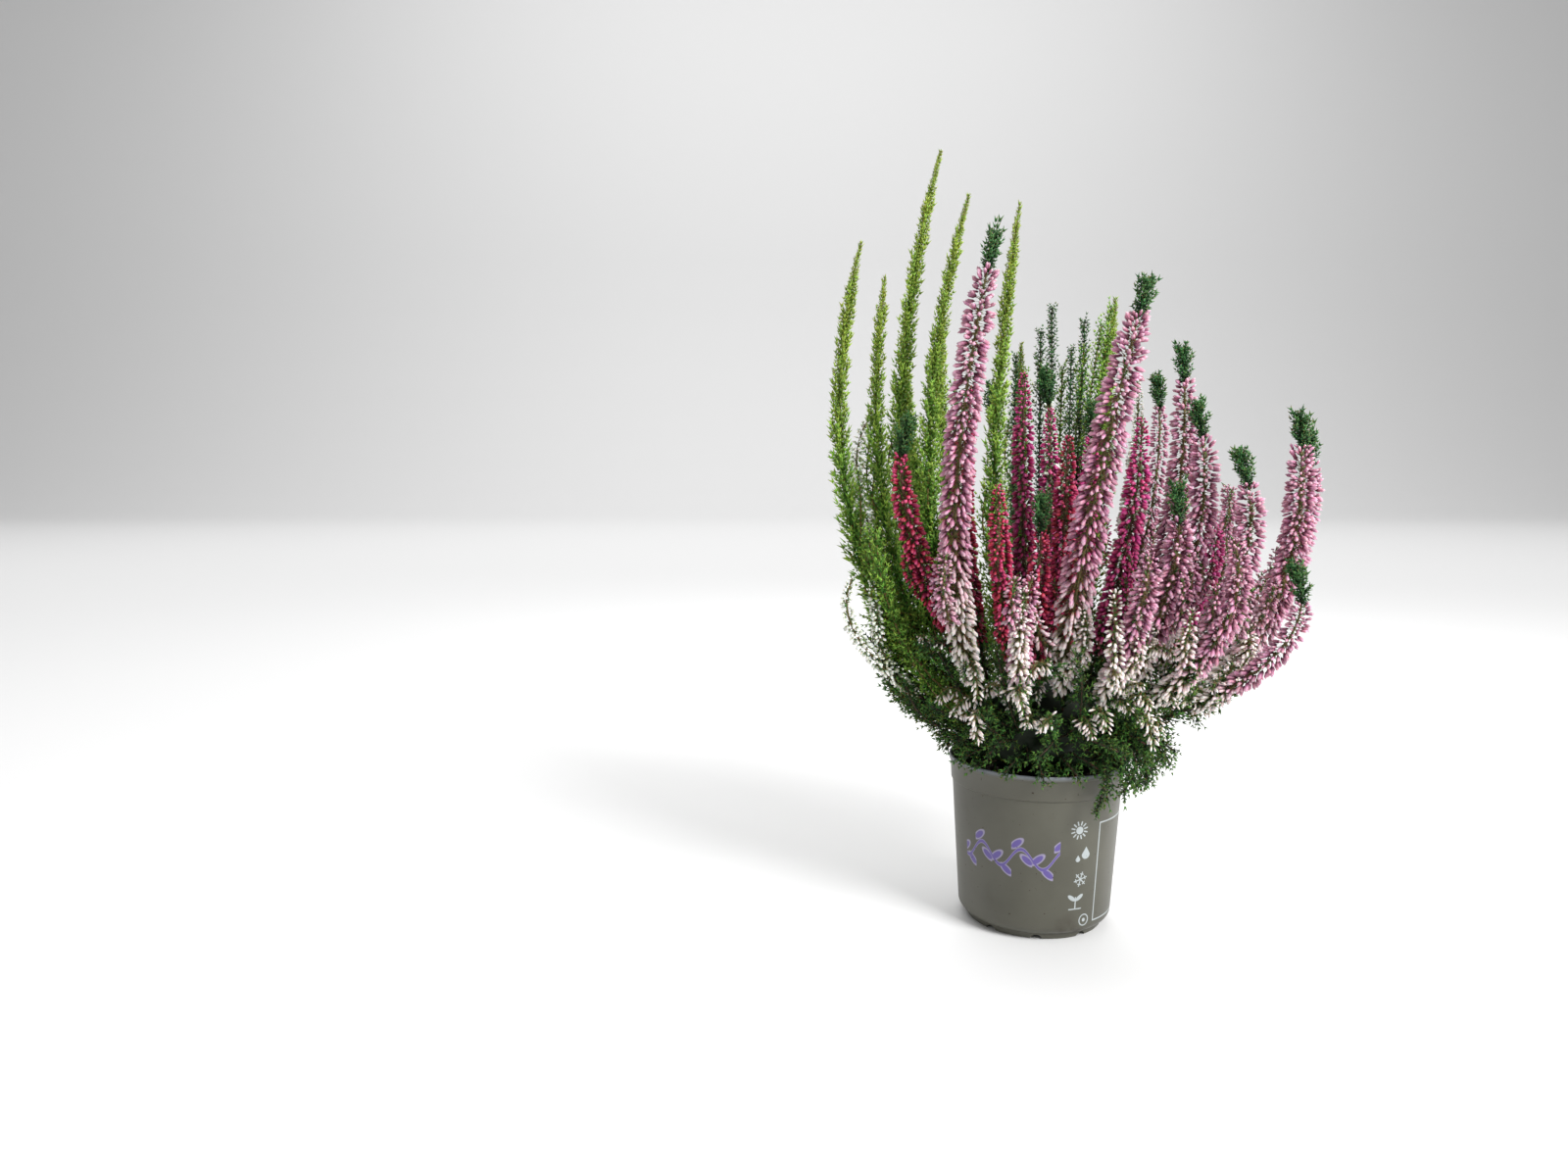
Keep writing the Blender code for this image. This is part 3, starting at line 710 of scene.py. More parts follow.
def make_growth():
    """Colours wood, leaves and buds from the painted numbers."""
    inputs = [(name, "Color", (0.5, 0.5, 0.5, 1)) for name in GROWTH_COLOURS]
    inputs += [("Low Share", "Float", 0.2), ("Spread", "Float", 0.5)]
    group, given, result = new_group("Growth", inputs, [("Color", "Color")])
    painted = add_node(group, "Attribute", {}, attribute_name=PAINT)
    parts = add_node(group, "SeparateColor", {"Color": painted.outputs["Color"]}).outputs
    along, tint, share, kind = values_of(group, [*parts, painted.outputs["Alpha"]])
    low = between(share + tint * LOW_RAGGED, given["Low Share"] * LOW_FADE, given["Low Share"])
    # Bud colours from base to tip: the darker base is painted shade, the pale tip partly a painted highlight
    base, middle, tip = [mixed(low, given["Low " + name], given[name]) for name in GROWTH_COLOURS[:3]]
    petal = mixed(between(along, *SHADED_BASE_ENDS), base, middle)
    petal = mixed(between(along, TIP_STARTS, 1.0), petal, tip)
    green = mixed(between(along, LEAF_TIP_STARTS, 1.0), given["Leaf"], given["Leaf Tip"])
    green = mixed(between(share, TOP_LEAF_STARTS, 1.0) * TOP_LEAF_SHARE, green, given["Top Leaf"])
    colour = mixed(kind.math("GREATER_THAN", (LEAF + BUD) / 2), green, petal)
    colour = mixed(kind.math("GREATER_THAN", (WOOD + LEAF) / 2), given["Wood"], colour)
    value = (tint - 0.5) * given["Spread"] + 1.0
    hue = (tint * HUE_TURNS).math("SINE") * HUE_SPREAD + 0.5
    tinted = add_node(group, "HueSaturation", {"Hue": hue, "Value": value, "Color": colour})
    fill(group, result, {"Color": tinted.outputs[0]})
    return group


growth = make_growth()
print("nodes in the growth:", len(growth.nodes))

# %% [markdown]
# ## The plant's finishes
# Buds are waxy and a little see-through, so they have a soft sheen and some light under the surface.
# Each colour has its own base, middle and tip: the darker base is painted shade between the buds, and the
# pale tip is partly a painted highlight. The lowest buds of the pink plants have faded to cream.
# Leaves are matt: dark on the old growth, deep green in the tips and yellow-green on the columns.

# %% Finishes of buds and leaves
STALK_COLOUR = linear(104, 92, 52)
DARK_LEAF = linear(34, 66, 28)
DARK_LEAF_TIP = linear(84, 128, 58)
FRESH_LEAF = linear(70, 122, 32)
FRESH_LEAF_TIP = linear(142, 186, 72)
MOTTLE_SHADE = (0.75, 0.75, 0.75, 1)
GLOW, GLOW_DEPTH, SHEEN = 0.12, 2 * MM, 0.4


def plant_finish(name, colours, low_share=0.2, spread=0.6, roughness=0.5):
    made, tree, shader = new_finish(name, roughness, Subsurface_Weight=GLOW, Subsurface_Scale=GLOW_DEPTH)
    shader.inputs["Specular IOR Level"].default_value = SHEEN
    inputs = {**dict(zip(GROWTH_COLOURS, colours)), "Low Share": low_share, "Spread": spread}
    colour = use_group(tree, growth, inputs)["Color"]
    tone = use_group(tree, mottle, {"Scale": 260.0, "Detail": 2.0})["Tone"]
    fine = use_group(tree, mottle, {"Scale": 1800.0, "Detail": 2.0})["Height"]
    shaded = mixed(tone * 0.3, colour, MOTTLE_SHADE, "MULTIPLY")
    fill(tree, shader, {"Base Color": shaded, "Normal": bumps(tree, fine, 0.35, 0.2 * MM)})
    return made


# In each list the first three colours are a bud's base, middle and tip, the next three the same for the
# lowest buds: the darker bases are painted shade between the buds, the pale tips partly painted highlight
finishes = {
    "pink": plant_finish(
        "pink buds",
        [
            linear(108, 50, 74), linear(188, 126, 152), linear(222, 182, 197),
            linear(158, 156, 118), linear(238, 224, 220), linear(255, 252, 246),
            DARK_LEAF, DARK_LEAF_TIP, DARK_LEAF_TIP, STALK_COLOUR,
        ],
        0.42,
    ),
    "crimson": plant_finish(
        "crimson buds",
        [
            linear(78, 12, 32), linear(168, 30, 70), linear(216, 92, 128),
            linear(80, 24, 24), linear(150, 40, 56), linear(206, 120, 120),
            DARK_LEAF, linear(96, 110, 50), linear(96, 110, 50), linear(96, 58, 44),
        ],
    ),
    "magenta": plant_finish(
        "magenta buds",
        [
            linear(94, 14, 54), linear(176, 40, 108), linear(222, 106, 160),
            linear(100, 40, 50), linear(170, 70, 108), linear(228, 166, 184),
            DARK_LEAF, DARK_LEAF_TIP, DARK_LEAF_TIP, linear(92, 60, 50),
        ],
    ),
    "white": plant_finish(
        "white buds",
        [
            linear(150, 166, 116), linear(234, 238, 226), linear(254, 254, 250),
            linear(120, 140, 84), linear(216, 218, 194), linear(248, 247, 232),
            DARK_LEAF, DARK_LEAF_TIP, linear(96, 140, 70), STALK_COLOUR,
        ],
        0.3,
    ),
    "green": plant_finish(
        "column leaves",
        [
            FRESH_LEAF, FRESH_LEAF, FRESH_LEAF_TIP, FRESH_LEAF, FRESH_LEAF,
            FRESH_LEAF_TIP, FRESH_LEAF, FRESH_LEAF_TIP, linear(150, 168, 62), linear(104, 92, 44),
        ],
        roughness=0.6,
    ),
    "tip": plant_finish(
        "green tips",
        [
            linear(26, 64, 26), linear(50, 100, 44), linear(100, 150, 76),
            linear(26, 64, 26), linear(50, 100, 44), linear(100, 150, 76),
            linear(22, 58, 26), linear(70, 120, 62), linear(54, 102, 48), linear(60, 66, 36),
        ],
        roughness=0.6,
    ),
    "leaf": plant_finish(
        "dark leaves",
        [
            DARK_LEAF, DARK_LEAF, DARK_LEAF_TIP, DARK_LEAF, DARK_LEAF, DARK_LEAF_TIP,
            linear(24, 56, 16), linear(72, 118, 42), linear(72, 118, 42), linear(58, 46, 30),
        ],
        roughness=0.65,
        spread=0.8,
    ),
}
print("finishes of the plant:", len(finishes))

# %% [markdown]
# ## The bud spikes
# Buds stand in loose rows round the stem and nearly hide it. The low ones droop, and the top ones lift.
# Small leaves sit between them.

# %% Buds along a spike
Bloom = namedtuple("Bloom", "row ranks droop lift leaves length girth")
BLOOMS = {
    "pink": Bloom(2.2 * MM, 6, -50, 38, 1, 10.2 * MM, 1.16),
    "crimson": Bloom(2.1 * MM, 5, -38, 40, 1, 8.0 * MM, 1.16),
    "magenta": Bloom(2.1 * MM, 5, -38, 40, 1, 8.0 * MM, 1.16),
    "white": Bloom(1.9 * MM, 4, -34, 42, 1, 6.4 * MM, 1.05),
}
RANK_SPREAD = 0.42
UPPER_DROOP = 0.35
STEM_TWIST = 0.035
WIDE_TOP = 0.94
TILT_SPREAD = 10
ROOM_RANGE, LENGTH_RANGE, GIRTH_RANGE = (0.86, 1.06), (0.9, 1.1), (0.85, 1.1)
STEM_HOLD = 0.7
LIFT_POWER = 7
SMALL_LEAF_LEAN, SMALL_LEAF_SIZE = (0.5, 1.1), (0.8, 1.4)
# The spike's foot as a share of its width, how fast it widens, and how blunt its top is
FOOT_SHARE, FOOT_WIDENS, TOP_BLUNTNESS = 0.55, 3, 0.7
SLIDE_WITH_TILT = 0.35
SLIMMEST_BUD, FLATTEST_TILT = 0.6, 0.7


def reach_along(stem, share):
    """The spike's radius along its length, in metres: a little slimmer at its foot, pointed at its top."""
    kind = KINDS[stem.kind]
    widest = kind.widest * stem.size
    foot = np.minimum(1, FOOT_SHARE + FOOT_WIDENS * share)
    top = np.minimum(1, (1 - share) / kind.narrowing) ** TOP_BLUNTNESS
    return (TOP_RADIUS + (widest - TOP_RADIUS) * foot * top) * MM


def outward_at(line, rows, angles):
    return np.cos(angles)[:, None] * line.side[rows] + np.sin(angles)[:, None] * line.other[rows]


def tip_start(stem):
    return share_at_height(stem, (stem.top[2] - TIP_LENGTH) * MM) if stem.has_tip else 1.0


def buds_along(line, bloom, reach, bare, tones, draw, hang=0.0):
    """Buds in loose ranks round a line. Reach is how far out they end at each place, bare where they start.
    Hang pulls their ends down."""
    rows = np.repeat(np.arange(len(line.points)), bloom.ranks)
    count = len(rows)
    ranks = np.tile(np.arange(bloom.ranks), len(line.points))
    turn = draw.normal(0, RANK_SPREAD, count)
    angles = math.pi / 4 + ranks * math.tau / bloom.ranks + rows * STEM_TWIST + turn
    share = line.share[rows]
    upper = UPPER_DROOP * bloom.droop
    tilt = bloom.droop * (1 - share) + upper * share + (bloom.lift - upper) * share**LIFT_POWER
    tilt = np.radians(tilt + draw.normal(0, TILT_SPREAD, count))
    outward = outward_at(line, rows, angles)
    direction = outward * np.cos(tilt)[:, None] + line.along[rows] * np.sin(tilt)[:, None] - (0, 0, hang)
    held = bare * STEM_HOLD
    room = (reach[rows] - held) * draw.uniform(*ROOM_RANGE, count)
    length = np.minimum(bloom.length, room / np.maximum(FLATTEST_TILT, np.cos(tilt)))
    length *= draw.uniform(*LENGTH_RANGE, count)
    start = np.maximum(held, room - length * np.cos(tilt) + held)
    slide = draw.uniform(-0.5, 0.5, count) * bloom.row - np.sin(tilt) * length * SLIDE_WITH_TILT
    origin = line.points[rows] + outward * start[:, None] + line.along[rows] * slide[:, None]
    girth = bloom.girth * draw.uniform(*GIRTH_RANGE, count) * np.clip(length / bloom.length, SLIMMEST_BUD, 1)
    sizes = np.stack([girth, girth, length / BUD_LENGTH], 1)
    places = placings(origin, direction, draw.uniform(0, math.tau, count), sizes)
    return planted(bud, places, draw.uniform(0, 1, count), tones[rows])


def small_leaves(line, per_row, bare, draw):
    """Short leaves that lie against the stem between the buds."""
    rows = np.repeat(np.arange(len(line.points)), per_row)
    count = len(rows)
    outward = outward_at(line, rows, draw.uniform(0, math.tau, count))
    direction = outward * draw.uniform(*SMALL_LEAF_LEAN, count)[:, None] + line.along[rows]
    size = draw.uniform(*SMALL_LEAF_SIZE, count)
    places = placings(line.points[rows] + outward * bare, direction, draw.uniform(0, math.tau, count), size)
    return planted(leaf, places, draw.uniform(0, 1, count), line.share[rows])


print("kinds of bloom:", ", ".join(BLOOMS))

# %% The spikes
def make_spike(stem, draw):
    kind, bloom = KINDS[stem.kind], BLOOMS[stem.kind]
    first = share_at_height(stem, stem.lowest * MM)
    line = stem_line(stem, first, tip_start(stem), bloom.row)
    bare = kind.bare * MM
    reach = reach_along(stem, line.share * (WIDE_TOP if stem.has_tip else 1))
    clumps = [
        buds_along(line, bloom, reach, bare, line.share, draw),
        bent_twig(line, long_twig, bare * 0.75, 0.6 * MM),
        small_leaves(line, bloom.leaves, bare * 0.6, draw),
    ]
    return grown(f"{stem.name}_buds", clumps, stem.kind, stem.name)


draw = np.random.default_rng(SEED)
for stem in STEMS:
    if stem.kind != "green":
        make_spike(stem, draw)
print("triangles in the spikes:", sum(totals.values()))

# %% [markdown]
# ## The green columns
# These plants flower late, so their stems are all leaf. Near the top the leaves lie close to the stem.
# Further down, short side shoots stand off it and make the column feathery.

# %% Sprigs along a column
COLUMN_ROW = 2.5 * MM
COLUMN_SPRIGS = 4
COLUMN_POINT = 0.86
COLUMN_END = 0.995
COLUMN_REACH = ((0, 0.35, 0.7, 1), (1.35, 1.2, 0.95, 0.9))
COLUMN_LEAN, COLUMN_STEEPENS = 44, 25
STEEPEST = 72
SPRIG_RANGE = (0.75, 1.1)
SPRIG_TURN_SPREAD, SPRIG_TILT_SPREAD, THICKEST_SPRIG = 0.3, 7, 1.2


def sprigs_along(line, per_row, reach, lean, draw, bare=0.6 * MM, slimmest=0.6):
    """Side shoots round a line. Reach is how far out they end, and lean how steeply they rise, in degrees."""
    rows = np.repeat(np.arange(len(line.points)), per_row)
    count = len(rows)
    turn = np.tile(np.arange(per_row), len(line.points)) * math.tau / per_row
    angles = turn + (rows % 2) * math.pi / per_row + draw.normal(0, SPRIG_TURN_SPREAD, count)
    tilt = np.radians(np.minimum(STEEPEST, lean[rows] + draw.normal(0, SPRIG_TILT_SPREAD, count)))
    outward = outward_at(line, rows, angles)
    direction = outward * np.cos(tilt)[:, None] + line.along[rows] * np.sin(tilt)[:, None]
    length = reach[rows] / np.cos(tilt) * draw.uniform(*SPRIG_RANGE, count)
    least = np.broadcast_to(slimmest, len(line.points))[rows]
    girth = np.clip(length / SPRIG_LENGTH, least, THICKEST_SPRIG)
    sizes = np.stack([girth, girth, length / SPRIG_LENGTH], 1)
    places = placings(line.points[rows] + outward * bare, direction, draw.uniform(0, math.tau, count), sizes)
    return places, draw.uniform(0, 1, count), line.share[rows]


def make_column(stem, draw):
    first = share_at_height(stem, stem.lowest * MM)
    line = stem_line(stem, first, COLUMN_END, COLUMN_ROW)
    point = np.interp(line.share, (COLUMN_POINT, 1), (1, 0.3))
    reach = reach_along(stem, line.share) * np.interp(line.share, *COLUMN_REACH) * point
    lean = COLUMN_LEAN + COLUMN_STEEPENS * line.share
    sprigs = sprigs_along(line, COLUMN_SPRIGS, reach, lean, draw, slimmest=0.85 * point**0.6)
    twig = bent_twig(line, long_twig, 1.3 * MM, 0.5 * MM)
    clumps = [planted(sprig, *sprigs), twig, small_leaves(line, 2, 0.5 * MM, draw)]
    return grown(f"{stem.name}_leaves", clumps, "green", stem.name)


before = sum(totals.values())
for stem in STEMS:
    if stem.kind == "green":
        make_column(stem, draw)
print("triangles in the columns:", sum(totals.values()) - before)

# %% [markdown]
# ## The green tips
# Some spikes end in a tuft of deep green leaves above the buds, like a tiny fir. Its side shoots are short
# and thick, and they close over the top.

# %% Tufts of side shoots
TUFT_ROW = 2.2 * MM
TUFT_REACH = 6.8 * MM
TUFT_CLOSING = 0.16
TUFT_SPRIGS = 5
TUFT_LEAN, TUFT_STEEPENS = 44, 16
TUFT_FORM = ((0, 0.25, 0.75, 1), (0.55, 1, 0.85, 0.45))


def make_tuft(stem, draw):
    start = tip_start(stem)
    line = stem_line(stem, start, 1 - TUFT_CLOSING * (1 - start), TUFT_ROW)
    reach = TUFT_REACH * (0.8 + 0.2 * stem.size) * np.interp(line.share, *TUFT_FORM)
    lean = TUFT_LEAN + TUFT_STEEPENS * line.share
    sprigs = sprigs_along(line, TUFT_SPRIGS, reach, lean, draw, slimmest=1.2)
    clumps = [planted(sprig, *sprigs), bent_twig(line, short_twig, 1.0 * MM, 0.6 * MM)]
    return grown(f"{stem.name}_tuft", clumps, "tip", f"{stem.name}_tip")


before = sum(totals.values())
for stem in STEMS:
    if stem.has_tip:
        make_tuft(stem, draw)
print("triangles in the tips:", sum(totals.values()) - before)

# %% [markdown]
# ## The leafy bush
# Below the buds every stem is leafy, and many short shoots fill the gaps between them. They start at the
# five woody necks. Inside the bush it is twiggy and in shade, so a rough core fills the middle, its dark
# colour painted shade, and the shoots stand well out of it. Longer shoots fan out on the left, and a few
# rise tall at the back.

# %% The core of the bush
CORE_SHARE = 0.77
# How far the core's colour is darkened: painted shade inside the bush
CORE_SHADE_TINT = -0.4
CORE_ROUGHNESS = 0.09


def make_core():
    deselect()
    bpy.ops.mesh.primitive_ico_sphere_add(subdivisions=4, radius=1)
    core = bpy.context.object
    edit_all()
    bpy.ops.transform.vertex_random(offset=CORE_ROUGHNESS, uniform=1, normal=0, seed=SEED)
    bpy.ops.transform.resize(value=tuple(HEART_ABOVE * CORE_SHARE), center_override=(0, 0, 0))
    bpy.ops.transform.translate(value=tuple(HEART_CENTRE))
    leave_edit()
    return lifted(core, LEAF)


core = make_core()
print("faces of the core:", len(core.faces))

# %% Room over the rim and inside the outline
RIM_ROOM = (3.5 * MM, 1.5 * MM)
# How far out shoots may reach at these heights: to the left, to the right, and to the front and back
OUTLINE_HEIGHTS = np.array((94, 112, 131, 157, 196, 240, 330)) * MM
OUTLINE_WIDTHS = np.array((
    (54, 57, 70, 94, 118, 124, 130),
    (59, 88, 96, 122, 146, 170, 196),
    (62, 74, 80, 86, 92, 96, 98),
)) * MM


def misses_rim(places):
    """True for each shape whose end doesn't reach into the pot's wall."""
    ends = places[:, :, 3] + places[:, :, 2] * SPRIG_LENGTH
    radius = np.linalg.norm(ends[:, :2], axis=1)
    in_wall = (radius > RIM_RADIUS - RIM_ROOM[0]) & (radius < RIM_RADIUS + RIM_ROOM[1])
    return ~(in_wall & (ends[:, 2] < POT_HEIGHT + 0.5 * MM))


def clear_of_pot(points):
    """Lifts what would touch the pot's rim, or the soil inside it."""
    radius = np.linalg.norm(points[:, :2], axis=1)
    over_soil, over_rim = SOIL_TOP + 3 * MM, POT_HEIGHT + 2.5 * MM
    climb = np.clip((radius / RIM_RADIUS - 0.60) / 0.24, 0, 1)
    lowest = over_soil + (over_rim - over_soil) * climb
    inside = radius < RIM_RADIUS + 5 * MM
    height = np.where(inside, np.maximum(points[:, 2], lowest), points[:, 2])
    return np.stack([points[:, 0], points[:, 1], height], 1)


def drawn_in(points):
    """Draws in what would stand outside the plant's outline, which widens with height."""
    left, right, deep = [np.interp(points[:, 2], OUTLINE_HEIGHTS, widths) for widths in OUTLINE_WIDTHS]
    out = np.hypot(points[:, 0] / np.where(points[:, 0] > 0, right, left), points[:, 1] / deep)
    share = 1 / np.maximum(1, out)
    return points * np.stack([share, share, np.ones_like(share)], 1)


print("widest outline in mm, left, right and deep:", OUTLINE_WIDTHS.max(axis=1) / MM)

# %% Leafy shoots
SHOOT_ROW = 4.6 * MM
SHOOT_SPRIG = 9.5 * MM
SHOOT_FORM = ((0, 0.8, 1), (1, 0.95, 0.6))
SHOOT_LEAN, SHOOT_STEEPENS = 34, 22


def leafy_shoot(line, draw, per_row=3, reach=SHOOT_SPRIG, radius=0.8 * MM, bare_to=0.0):
    """A twig and the side shoots on the part of it that stands out of the core."""
    full = reach * np.interp(line.share, *SHOOT_FORM)
    lean = SHOOT_LEAN + SHOOT_STEEPENS * line.share
    places, tints, shares = sprigs_along(line, per_row, full, lean, draw, slimmest=0.95)
    shows = (in_heart(places[:, :, 3]) > CORE_SHARE) & misses_rim(places) & (places[:, 2, 3] > bare_to)
    sprigs = planted(plain_sprig, places[shows], tints[shows], shares[shows] * 0.3)
    return [sprigs, bent_twig(line, short_twig, radius, 0.5 * MM, 0.5)]


def arc_line(start, middle, end, step):
    start, middle, end = drawn_in(np.array([start, middle, end]))
    return line_through(lambda shares: arc_points(start, middle, end, shares), 0, 1, step)


def leafy(lines, draw, **settings):
    return [clump for line in lines for clump in leafy_shoot(line, draw, **settings)]


print("side shoots of a leafy shoot are", round(SHOOT_SPRIG / MM, 1), "mm long or less")

# %% Shoots in rings and over the dome
SHOOT_CENTRE = np.array((2, -3, 0)) * MM
SHOOT_REACH = np.array((112, 96, 0)) * MM
SHOOT_PLACES = (0.40, 0.70, 1.0)
# For each ring: how many shoots, their heights at those places in millimetres, and their share of the reach
SHOOT_RINGS = [
    (12, (136, 156, 202), 1.0), (13, (134, 146, 160), 0.98),
    (15, (130, 138, 131), 0.94), (20, (122, 126, 119), 0.74),
]
SHOOT_BEND = 6
RING_TURN, RING_JITTER, RING_RANGE, RING_RISE = 0.4, 0.3, (0.8, 1), 5
DOME_SHOOTS = 38
DOME_TOP, DOME_SPAN = 0.85, 1.6
DOME_FOOT, DOME_ENDS = 0.6, (1.05, 1.3)
DOME_LIFT, DOME_SAG = 6 * MM, 3 * MM


def ring_lines(draw):
    """Shoots that leave the middle of the bush all round, in rings of their own height."""
    for ring, (count, heights, share) in enumerate(SHOOT_RINGS):
        for index in range(count):
            angle = math.tau * (index + RING_TURN * ring + draw.uniform(-RING_JITTER, RING_JITTER)) / count
            reach = SHOOT_REACH * share * draw.uniform(*RING_RANGE)
            outward = level_way(angle) * reach
            aside = np.array((-math.sin(angle), math.cos(angle), 0)) * draw.normal(0, SHOOT_BEND) * MM
            rise = draw.uniform(-RING_RISE, RING_RISE) * MM
            start, middle, end = [
                SHOOT_CENTRE + outward * along + (0, 0, height * MM + rise * along)
                for along, height in zip(SHOOT_PLACES, heights)
            ]
            yield arc_line(start, middle + aside, end, SHOOT_ROW)


def dome_lines(draw):
    """Short shoots all over the bush, in front of its core in painted shade."""
    for index in range(DOME_SHOOTS):
        angle = index * math.pi * (3 - math.sqrt(5)) + draw.uniform(-0.2, 0.2)
        rise = DOME_TOP - DOME_SPAN * (index + 0.5) / DOME_SHOOTS
        flat = math.sqrt(max(0.0, 1 - rise * rise))
        ray = np.array((flat * math.cos(angle), flat * math.sin(angle), rise))
        radii = HEART_ABOVE if rise > 0 else HEART_BELOW
        start = HEART_CENTRE + ray * radii * DOME_FOOT
        end = HEART_CENTRE + ray * radii * draw.uniform(*DOME_ENDS) + (0, 0, DOME_LIFT)
        middle = (start + end) / 2 - (0, 0, DOME_SAG)
        yield arc_line(*clear_of_pot(np.array([start, middle, end])), SHOOT_ROW)


print("shoots in the rings:", sum(count for count, _, _ in SHOOT_RINGS), "and over the dome:", DOME_SHOOTS)

# %% Shoots on the stems' lower lengths
OUTER_STEM = 80 * MM
FIRST_LEAVES, LAST_LEAVES = 0.02, 12
SIDE_SPREAD = 0.75
# For the inner stems, then the outer ones: shoots on each stem, and how far up they bend
FOOT_SHOOTS = (1, 4)
FOOT_LIFTS = ((0, 0.9), (-0.5, 0.6))
FOOT_ROOM = (-42, 22)
# For the stems in front, then those behind this depth: branches on each green stem, and their room
BACK_STEM = 30
FRESH_BRANCHES = (4, 10)
FRESH_HEIGHTS = (110, 170)
FRESH_LENGTH = 42 * MM
FRESH_LIFTS = (1.4, 2.0)
FOOT_SHOOT_LENGTH = 34 * MM
BRANCH_RANGE = (0.6, 1)


def stem_feet(kinds, draw):
    """The leafy lower length of every stem of these kinds, up to its lowest buds."""
    clumps = []
    for stem in STEMS:
        if stem.kind in kinds:
            last = share_at_height(stem, (stem.lowest + LAST_LEAVES) * MM)
            line = stem_line(stem, FIRST_LEAVES, last, SHOOT_ROW)
            clumps += leafy_shoot(line, draw, radius=1.4 * MM)
    return clumps


def side_line(stem, height, length, lift, end_lift, step, draw, forward=0.0):
    """A side branch that leaves a stem at a height, outwards from the plant, and bends up or down.
    Forward turns it to the front."""
    start = stem_points(stem, [share_at_height(stem, height)])[0]
    away = start - HEART_CENTRE
    angle = math.atan2(away[1] - forward, away[0]) + draw.normal(0, SIDE_SPREAD)
    outward = level_way(angle)
    middle = start + outward * length * 0.5 + (0, 0, length * lift)
    end = start + outward * length * max(0.4, 1 - 0.4 * abs(end_lift)) + (0, 0, length * end_lift)
    return arc_line(start, middle, end, step)


def foot_lines(kinds, draw):
    """Leafy side branches low on the stems. The outer stems carry more of them, and some droop."""
    for stem in STEMS:
        outer = math.hypot(*stem.shoulder[:2]) * MM > OUTER_STEM
        for _ in range(FOOT_SHOOTS[outer] if stem.kind in kinds else 0):
            height = draw.uniform(stem.lowest + FOOT_ROOM[0], stem.lowest + FOOT_ROOM[1]) * MM
            length = FOOT_SHOOT_LENGTH * draw.uniform(*BRANCH_RANGE)
            lift = draw.uniform(*FOOT_LIFTS[outer])
            yield side_line(stem, height, length, 0.1 + 0.3 * lift, lift, SHOOT_ROW, draw)


def fresh_lines(draw):
    """Leafy branches that rise beside the green columns."""
    for stem in STEMS:
        at_back = stem.shoulder[1] > BACK_STEM
        for _ in range(FRESH_BRANCHES[at_back] if stem.kind == "green" else 0):
            height = (stem.lowest + draw.uniform(0, FRESH_HEIGHTS[at_back])) * MM
            length = FRESH_LENGTH * draw.uniform(*BRANCH_RANGE)
            yield side_line(stem, height, length * 0.6, 0.4, draw.uniform(*FRESH_LIFTS), SHOOT_ROW, draw)


print("leafy branches at a green stem, in front and behind:", FRESH_BRANCHES)

# %% Tall shoots at the back
TALL_ROW = 3.6 * MM
TALL_BARE = 262 * MM
TALL_START = 150
# A point on the way and the top of each, in millimetres
DARK_TALL = [
    ((10, 52, 270), (14, 76, 412)), ((18, 54, 270), (23, 80, 430)), ((36, 54, 270), (47, 78, 420)),
    ((-8, 50, 260), (-4, 74, 394)), ((28, 46, 260), (34, 64, 398)),
]
FRESH_TALL = [
    ((34, 56, 262), (60, 80, 418)), ((42, 58, 270), (68, 84, 432)), ((30, 54, 250), (46, 74, 398)),
    ((48, 58, 262), (64, 80, 406)), ((22, 52, 250), (30, 72, 386)),
]


def tall_lines(shoots):
    """Leafy shoots without buds that rise among the spikes at the back, each through a point to its top."""
    for through, top in shoots:
        start = np.array((through[0] * 0.6, through[1] * 0.6, TALL_START))
        yield arc_line(start * MM, np.array(through) * MM, np.array(top) * MM, TALL_ROW)


print("tall shoots:", len(DARK_TALL), "dark and", len(FRESH_TALL), "fresh")

# %% The lobe at the front and the fans on the left
# Between the front and the right, in degrees
LOBE_ANGLES = (-64, -16)
LOBE_SHOOTS = 16
LOBE_JITTER = 3
# Radius and height where the lobe's shoots start, and ranges of both for their ends, in millimetres
LOBE_START, LOBE_RADII, LOBE_HEIGHTS = (46, 134), (76, 100), (100, 126)
LOBE_BEND = (0.82, 133)
DARK_FAN, DARK_FAN_HEIGHTS = 12, (150, 212)
FRESH_FAN, FRESH_FAN_HEIGHTS = 13, (196, 276)
# Where the fans' shoots start and end, and how their middle is moved, in millimetres
FAN_DEPTHS, FAN_START, FAN_START_HEIGHTS = (-44, 36), -44, (132, 150)
FAN_ENDS, FAN_BEND = (-124, -104), (-12, 0, -12)


def lobe_lines(draw):
    """At the front and the right the bush hangs over the rim."""
    for index in range(LOBE_SHOOTS):
        jitter = draw.uniform(-LOBE_JITTER, LOBE_JITTER)
        angle = math.radians(np.interp(index, (0, LOBE_SHOOTS - 1), LOBE_ANGLES) + jitter)
        outward = level_way(angle)
        end_radius, end_height = draw.uniform(*LOBE_RADII) * MM, draw.uniform(*LOBE_HEIGHTS) * MM
        start = outward * LOBE_START[0] * MM + (0, 0, LOBE_START[1] * MM)
        middle = outward * (end_radius * LOBE_BEND[0]) + (0, 0, LOBE_BEND[1] * MM)
        yield arc_line(start, middle, outward * end_radius + (0, 0, end_height), SHOOT_ROW)


